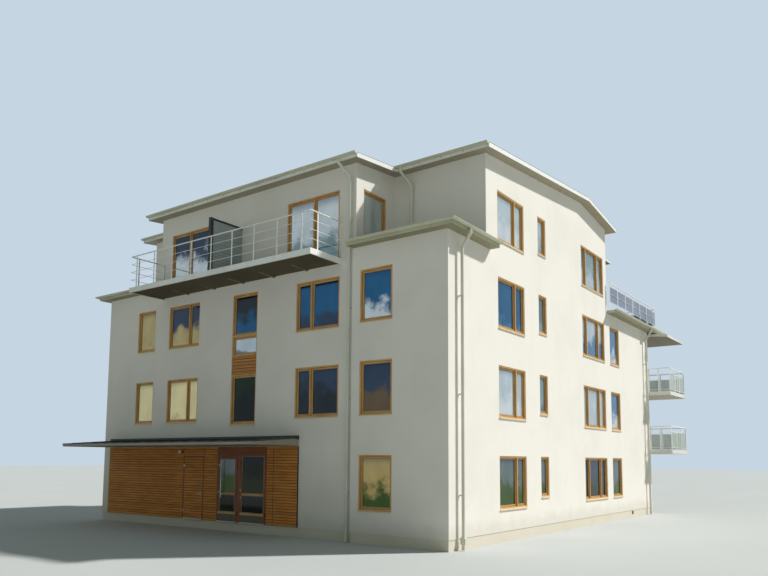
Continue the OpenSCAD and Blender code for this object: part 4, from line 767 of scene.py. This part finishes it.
def thresholds():
    """Bright metal sills in front of the leaves"""
    sills = []
    for start, width in ((LEFT_LEAF_X, LEFT_LEAF_W), (RIGHT_LEAF_X, RIGHT_LEAF_W),
                         (SERVICE_X + JAMB, SERVICE_W - 2 * JAMB)):
        x0, x1 = start + 0.002, start + width - 0.002
        sills.append(wedge(LEFT + x0, LEFT + x1, CLAD_FACE - 0.03, CLAD_FACE + 0.001,
            GROUND + 0.002, GROUND + 0.0245, 0.008))
        for i in range(3):
            y = i * 0.007 - 0.026
            sills.append(entry_block(x0, x1, y, y + 0.003, 0.016, 0.0195 + i * 0.0018, 0))
    finish(sills, "door_thresholds", "alloy", "steel")


def service_leaf():
    """The clad leaf of the service door, with its knuckles"""
    x0, x1 = SERVICE_X + JAMB + LEAF_GAP, SERVICE_X + SERVICE_W - JAMB - LEAF_GAP
    z0, z1 = THRESHOLD + LEAF_GAP, SERVICE_H - LEAF_GAP
    boards = board_rows(LEFT + x0 + 0.002, LEFT + x1 - 0.002, GROUND + z0, GROUND + z1)
    finish(boards, "service_leaf_boards", "boards", "cladding", "side_door", ("service_door",))
    # Painted shade: the near-black core shows as shadow in the gaps between the leaf's boards
    core = entry_block(x0, x1, BOARD_BACK, LEAF_THICK, z0, z1, 0.001)
    finish([core], "service_leaf_core", "gap_shade_backing", "cladding", "side_door")
    knuckles, high, x = [], 0.08, x0 - LEAF_GAP
    for z in (0.25, SERVICE_H - 0.33):
        knuckles.append(cylinder(0.013, high, (LEFT + x, CLAD_FACE - 0.016, GROUND + z + high / 2), 0.0015, turn=0))
        knuckles.append(entry_block(x, x + 0.04, -0.012, 0.0005, z, z + high))
    finish(knuckles, "service_leaf_knuckles", "steel", "steel", "side_door")


# Canopy: a boarded soffit under a painted core, with a dark sheet folded over its top

def canopy():
    x0, x1 = LEFT + CANOPY_X[0], LEFT + CANOPY_X[1]
    front, foot, top = MAIN - CANOPY_DEPTH, CANOPY_Z, CANOPY_Z + CANOPY_WALL
    slope = (CANOPY_WALL - CANOPY_EDGE) / CANOPY_DEPTH
    sheet, board, inset, hem, fold = 0.006, 0.016, 0.012, 0.022, 0.004
    edge = foot + CANOPY_EDGE
    drop = slope * (CANOPY_DEPTH - inset)
    core = wedge(x0 + inset, x1 - inset, front + inset, MAIN, foot + board, top - sheet, drop)
    finish([core], "canopy_core", "fascia", "canopy", replaces=("entrance_canopy",))
    count, gap = 20, 0.003
    pitch = (CANOPY_DEPTH - 2 * inset) / count
    y = front + inset + gap
    first = block(x0 + inset, x1 - inset, y, y + pitch - 2 * gap, foot + 0.002, foot + board, 0.002)
    finish([repeat(first, (0, pitch, 0), count)], "canopy_soffit_boards", "soffit", "canopy")
    fascia = block(x0 + 0.006, x1 - 0.006, front + fold, front + inset + 0.001, foot + hem, edge - hem + fold, 0.002)
    finish([fascia], "canopy_fascia_board", "fascia", "canopy")

    def leaned(*box):
        return sloped(block(*box), slope, front)

    parts = [leaned(x0, x1, front, MAIN, edge - sheet, edge, 0),
             block(x0, x1, front, front + fold, edge - hem, edge - 0.001, 0.001)]
    for x in (x0, x1 - fold):
        parts.append(leaned(x, x + fold, front, MAIN, edge - hem, edge - 0.001, 0))
    seams = 16
    for i in range(1, seams):
        x = x0 + (x1 - x0) * i / seams
        parts.append(leaned(x - 0.005, x + 0.005, front + 0.01, MAIN - 0.02, edge - 0.001, edge + 0.016, 0.001))
    parts.append(block(x0, x1, MAIN - 0.02, MAIN, top - 0.006, top + 0.07, 0.002))
    parts.append(block(x1 - fold, x1, MAIN - 0.14, MAIN, top - 0.05, top + 0.04, 0.001))
    finish(parts, "canopy_sheet", "dark_sheet", "canopy")


def wall_lamp():
    """A small globe on a round back plate, beside the service door"""
    x, z = LEFT + LAMP[0], GROUND + LAMP[1]
    plate = cylinder(0.055, 0.018, (x, CLAD_FACE - 0.009, z), 0.003, 2, vertices=40)
    arm = cylinder(0.018, 0.07, (x, CLAD_FACE - 0.05, z), vertices=24)
    finish([plate, arm], "lamp_mount", "dark_trim", "steel")
    bpy.ops.mesh.primitive_uv_sphere_add(segments=40, ring_count=24, radius=0.055, location=(x, CLAD_FACE - 0.115, z))
    globe = settled()
    taller = Matrix.Diagonal((1, 1, 1.12, 1))
    globe.data.transform(Matrix.Translation((0, 0, z)) @ taller @ Matrix.Translation((0, 0, -z)))
    bpy.ops.object.shade_smooth()
    bpy.ops.mesh.primitive_torus_add(major_radius=0.03, minor_radius=0.007, major_segments=32, minor_segments=12,
        location=(x, CLAD_FACE - 0.066, z), rotation=(math.radians(90), 0, 0))
    collar = settled()
    bpy.ops.object.shade_smooth()
    finish([globe, collar], "lamp_globe", "lamp", "white_metal")


def wall_vent():
    """A louvred grille in the foot of the sunny side"""
    (y, z), x = VENT, RIGHT - 0.0155
    wide, high, bar, post, proud = 0.19 / 2, 0.13 / 2, 0.016, 0.014, 0.012
    parts = [block(x, x + proud, y + y0, y + y1, z + z0, z + z1, 0.002) for y0, y1, z0, z1 in (
        (-wide, wide, -high, bar - high), (-wide, wide, high - bar, high),
        (-wide, post - wide, -high, high), (wide - post, wide, -high, high))]
    lean = Matrix(((1, 0, 0, 0), (0, 1, 0, 0), (-0.9, 0, 1, 0.9 * x), (0, 0, 0, 1)))
    for i in range(6):
        slat = block(x + 0.001, x + 0.010, y - wide + 0.012, y + wide - 0.012, 0, 0.004, 0)
        slat.data.transform(Matrix.Translation((0, 0, z - high + 0.02 + i * 0.017)) @ lean)
        parts.append(slat)
    finish(parts, "wall_vent", "gasket", "steel")


def pipe_trap():
    """A leaf trap with a tilting lid on the corner downpipe"""
    x, y = CORNER_PIPE
    parts = [block(x + x0, x + x1, y - half, y + half, z0, z1, ease) for x0, x1, half, z0, z1, ease in (
        (-0.068, 0.068, 0.06, 0.16, 0.34, 0.012), (0.06, 0.076, 0.045, 0.2, 0.31, 0.004),
        (0.074, 0.09, 0.012, 0.285, 0.295, 0.003))]
    finish(parts, "corner_pipe_trap", "pipe", "white_metal")


# Roofs

def seam_ribs():
    """Standing seams up both slopes of the upper roof, with a cap on the ridge"""
    ridge_y = FRONT + RIDGE
    ridge = FLOOR_4 + ROOF_RISE + RIDGE * FRONT_SLOPE + ROOF_THICK
    starts = {"long": STEP, "short": SET_BACK}
    inner = (NOTCH_LEFT - ROOF_VERGE, HOUSE_W - NOTCH_RIGHT + ROOF_VERGE)
    places = {"long": [], "short": [], "rear": []}
    step, first, inset, high = 0.6, 0.3 - ROOF_VERGE, 0.02, 0.02
    count = int((HOUSE_W + 2 * ROOF_VERGE - 0.4) / step) + 1
    for i in range(count):
        x = first + i * step
        place = Matrix.Translation((LEFT + x, 0, 0))
        places["long" if inner[0] + 0.05 < x < inner[1] - 0.05 else "short"].append(place)
        places["rear"].append(place)
    spans = [(kind, FRONT + start - ROOF_EAVE + inset, ridge_y, FRONT_SLOPE) for kind, start in starts.items()]
    spans.append(("rear", ridge_y, TOP_BACK + ROOF_EAVE - inset, -REAR_SLOPE))
    made = []
    for kind, y0, y1, slope in spans:
        rib = block(-0.006, 0.006, y0, y1, ridge - 0.001, ridge + high, 0.001)
        made.append(placed(sloped(rib, slope, ridge_y), places[kind]))
    lap, end = 0.14, ROOF_VERGE - 0.028
    x0, x1 = LEFT - end, RIGHT + end
    for y0, y1, slope in ((-lap, 0.002, FRONT_SLOPE), (-0.002, lap, -REAR_SLOPE)):
        cap = block(x0, x1, ridge_y + y0, ridge_y + y1, ridge + high, ridge + high + 0.004, 0)
        made.append(sloped(cap, slope, ridge_y))
    finish(made, "upper_roof_seams", "dark_sheet", "roofing")


def wall_flashings():
    """Aprons where the lower roofs and the terrace meet the walls above them"""
    foot, top, out = EAVE_Z + LOW_ROOF, EAVE_Z + LOW_ROOF + 0.22, 0.005
    back = FRONT + SET_BACK
    spans = [(MID_RIGHT, RIGHT, back - out, back, foot, top), (LEFT, MID_LEFT, back - out, back, foot, top),
             (MID_RIGHT, MID_RIGHT + out, MAIN, back, foot, top), (MID_LEFT - out, MID_LEFT, MAIN, back, foot, top)]
    start = TERRACE_DOORS[0][0]
    end = start + TERRACE_DOORS[0][1]
    for x0, x1 in ((LEFT, LEFT + start), (LEFT + end, RIGHT - end), (RIGHT - start, RIGHT)):
        spans.append((x0, x1, TOP_BACK, TOP_BACK + out, DECK_Z, DECK_Z + 0.15))
    strips = [block(*span, 0.001) for span in spans]
    finish(strips, "wall_flashings", "apron", "roofing")


def boards_on(x0, x1, y, top, thick, gap, pitch, count, *names):
    """count boards from y inwards, gap apart, with their faces at top"""
    board = block(x0, x1, y, y + pitch - gap, top - thick, top, 0.002)
    finish([repeat(board, (0, pitch, 0), count)], *names)


def deck_boards():
    """Boards on the roof terrace, on the front balcony and under its deck, where the beams' feet show below them"""
    thick, gap, pitch = 0.012, 0.006, 0.145
    x0, x1, front = BALCONY
    edge, count = 0.06, 9
    under = (MAIN - 0.002 - front - edge) / count
    boards_on(x0 + edge, x1 - edge, front + edge + gap / 2, FLOOR_4 - 0.112, thick, gap, under, count,
        "balcony_lining", "lining", "white_metal")
    y0, y1 = TOP_BACK + 0.03, TERRACE_RAIL - 0.07
    boards_on(LEFT - 0.06, RIGHT + 0.06, y0, DECK_Z + thick, thick, gap, pitch, int((y1 - y0) / pitch),
        "terrace_boards", "deck", "roofing")
    edge, count = 0.085, 11
    boards_on(x0 + edge, x1 - edge, front + edge, FLOOR_4 + thick, thick, gap, (MAIN - 0.004 - front - edge) / count,
        count, "balcony_boards", "deck", "white_metal")


# Railing infill

def infill(place, length, bays, z0, z1, first=0.0, last=0.0):
    """Panels between the posts of a railing that runs along +X from place"""
    post, gap, thick, off = 0.045, 0.014, 0.006, 0.012
    step = (length - first - last - post) / bays
    spans = [(first + i * step + post + gap, first + (i + 1) * step - gap) for i in range(bays)]
    if first:
        spans.append((gap, first - gap))
    if last:
        spans.append((length - last + gap, length - gap))
    panels = []
    for x0, x1 in spans:
        panels.append(block(x0, x1, off, off + thick, z0, z1))
        for x in (x0 + 0.05, x1 - 0.05):
            for z in (z0 + 0.004, z1 - 0.022):
                panels.append(block(x - 0.012, x + 0.012, off - 0.006, off + thick + 0.003, z, z + 0.018))
    whole = joined(panels)
    whole.data.transform(place)
    return whole


def terrace_panels():
    """Coloured panels between the lowest and the third bar of the terrace railing"""
    z0, z1, corner = DECK_Z + 0.385, DECK_Z + 0.995, 0.33
    rail, out = TERRACE_RAIL, TERRACE_RAIL_OUT
    side = rail - TOP_BACK - HALF_POST
    finish([infill(face(RIGHT + out, TOP_BACK, 90), side, 6, z0, z1, last=corner),
            infill(face(LEFT - out, rail - HALF_POST, -90), side, 6, z0, z1, first=corner),
            infill(face(RIGHT + out, rail, 180), HOUSE_W + 2 * out, 14, z0, z1, corner, corner)],
        "terrace_panels", "lilac", "white_metal")


def rear_panels():
    """Pale green panels under the second rail of the rear balconies"""
    parts = []
    long, deep = REAR_WIDE - 2 * RAIL_IN, REAR_DEEP - 2 * (RAIL_IN + HALF_POST)
    back = BACK + REAR_DEEP - RAIL_IN
    near, far = BACK + RAIL_IN + HALF_POST, back - HALF_POST
    for storey in (2, 3):
        deck = floor_z(storey) - REAR_DROP
        for corner, sign in ((RIGHT, 1), (LEFT, -1)):
            outer, inner = corner + sign * (REAR_SIDE - RAIL_IN), corner + sign * (REAR_SIDE - REAR_WIDE + RAIL_IN)
            runs = [(max(outer, inner), back, 180, long, 4)]
            if sign > 0:
                runs += [(outer, near, 90, deep, 2), (inner, far, -90, deep + RAIL_IN, 2)]
            else:
                runs += [(outer, far, -90, deep, 2), (inner, BACK, 90, deep + RAIL_IN, 2)]
            for x, y, turn, length, bays in runs:
                parts.append(infill(face(x, y, turn), length, bays, deck + 0.06, deck + 0.8))
    finish(parts, "rear_balcony_panels", "frosted", "white_metal")


# Window trims

def sash_openings(window):
    """The glass openings of a window: (x0, x1) of each light"""
    start, width, _, _, shares = window
    spans, x = [], start + FRAME_FACE
    for share in shares:
        light = (width - FRAME_FACE * (len(shares) + 1)) * share
        spans.append((x + SASH_FACE, x + light - SASH_FACE))
        x += light + FRAME_FACE
    return spans


def light_trims(x0, x1, z0, z1):
    """A gasket round one pane, a dark ring round its sash that is a painted shadow line in the gap to the frame, and
    the drip bead on its bottom rail
    """
    sash, glass, wide = REVEAL + SASH_STEP, REVEAL + 0.068, 0.006
    gaskets = frame_ring(block, x0, x1, glass - 0.004, glass + 0.0005, z0, z1, wide, 0)
    x0, x1, low, high = x0 - SASH_FACE, x1 + SASH_FACE, z0 - SASH_FACE, z1 + SASH_FACE
    # Painted shade: this dark ring round the sash stands for the shadow in the gap between sash and frame
    gaskets += frame_ring(block, x0, x1, sash - 0.0015, sash + 0.0005, low, high, wide, 0)
    return gaskets, block(x0 + 0.004, x1 - 0.004, sash - 0.009, sash + 0.001, z0 - 0.022, z0 - 0.006, 0.002)


def window_trims():
    mirrored_side = [(HOUSE_D - x - width, width, sill, storeys, shares[::-1])
                     for x, width, sill, storeys, shares in SIDE_WINDOWS]
    edge = FRAME_FACE + SASH_FACE
    openings = []
    for place, windows in (
            (ON_MAIN, MAIN_WINDOWS), (ON_FRONT, CORNER_WINDOWS), (ON_RIGHT, SIDE_WINDOWS), (ON_REAR, REAR_WINDOWS),
            (ON_LEFT, mirrored_side), (ON_TOP_REAR, TERRACE_DOORS), (ON_NOTCH_RIGHT, [NOTCH_WINDOW]),
            (ON_NOTCH_LEFT, [NOTCH_WINDOW])):
        for window in windows:
            places = [place @ Matrix.Translation((0, 0, floor_z(n))) for n in window[3]]
            openings.append((sash_openings(window), window[2] + edge, HEAD - edge, places))
    for z0, z1 in STAIR_LIGHTS:
        openings.append(([(STAIR_X + edge, STAIR_X + STAIR_W - edge)], z0 + edge, z1 - edge, [ON_MAIN]))
    gaskets, beads = [], []
    for spans, z0, z1, places in openings:
        lights = [light_trims(x0, x1, z0, z1) for x0, x1 in spans]
        gaskets.append(placed(joined([bar for rings, _ in lights for bar in rings]), places))
        beads.append(placed(joined([bead for _, bead in lights]), places))
    finish(gaskets, "window_gaskets_and_shadow_lines", "gasket", "timber")
    finish(beads, "window_drip_beads", "bead", "timber")


# Studio

def photo_camera():
    """The camera that the photograph's own lines give"""
    yaw, pitch, roll = math.radians(126.1923), math.radians(5.9087), math.radians(0.3763)
    forward = Vector((math.cos(pitch) * math.cos(yaw), math.cos(pitch) * math.sin(yaw), math.sin(pitch)))
    side = Vector((math.sin(yaw), -math.cos(yaw), 0))
    up = side.cross(forward)
    right = side * math.cos(roll) + up * math.sin(roll)
    above = up * math.cos(roll) - side * math.sin(roll)
    data = bpy.data.cameras.new("photo_camera")
    data.lens = 33.717
    data.sensor_width = 36.0
    data.sensor_fit = "HORIZONTAL"
    data.shift_y = 0.127
    data.clip_end = 500.0
    camera = bpy.data.objects.new("photo_camera", data)
    bpy.context.scene.collection.objects.link(camera)
    turn = Matrix((right, above, -forward)).transposed().to_4x4()
    camera.matrix_world = Matrix.Translation((17.653, -25.288, 2.361)) @ turn
    bpy.context.scene.camera = camera


def studio_floor():
    bpy.ops.mesh.primitive_plane_add(size=400, location=(0, 0, -0.001))
    floor = bpy.context.object
    floor.name = "studio_floor"
    tree, coords = new_material("studio_floor")
    tone = tree.ramp(tree.noise(coords, 0.2, 2.0), 0.3, 0.7)
    floor.data.materials.append(tree.surface(Base_Color=tree.blend(tone, "#C4C7C6", "#C0C3C2"), Roughness=0.95))


def studio_light():
    """Sun from the right, with a sky that lights more softly than it looks to the camera and in mirrors"""
    sun = bpy.data.lights.new("key_light", "SUN")
    sun.energy = 3.95
    sun.angle = math.radians(2.5)
    sun.color = (1.0, 0.985, 0.95)
    lamp = bpy.data.objects.new("key_light", sun)
    lamp.rotation_euler = Vector((0.482, 0.534, 0.694)).to_track_quat("Z", "Y").to_euler()
    bpy.context.scene.collection.objects.link(lamp)
    world = bpy.data.worlds.new("studio")
    bpy.context.scene.world = world
    world.use_nodes = True
    tree = Tree(world.node_tree)
    plain = tree.nodes["Background"]
    tree.put(plain.inputs["Color"], "#D4E6E1")
    tree.put(plain.inputs["Strength"], 0.28)
    seen = tree.node("Background", "#C6D5E2", 1.0)
    path = tree.node("LightPath").outputs
    shown = tree.math("MAXIMUM", path["Is Camera Ray"],
        tree.math("MAXIMUM", path["Is Glossy Ray"], path["Is Transmission Ray"]))
    mixed = tree.node("MixShader", shown, plain.outputs[0], seen.outputs[0])
    tree.put(tree.nodes["World Output"].inputs["Surface"], mixed.outputs[0])
    bpy.context.scene.view_settings.view_transform = "Standard"


photo_camera()
studio_floor()
studio_light()
dress_frame()
entrance_boards()
stair_panel_boards()
entrance_leaf_trims()
service_leaf()
thresholds()
door_lock()
canopy()
wall_lamp()
wall_vent()
pipe_trap()
seam_ribs()
wall_flashings()
deck_boards()
terrace_panels()
rear_panels()
window_trims()
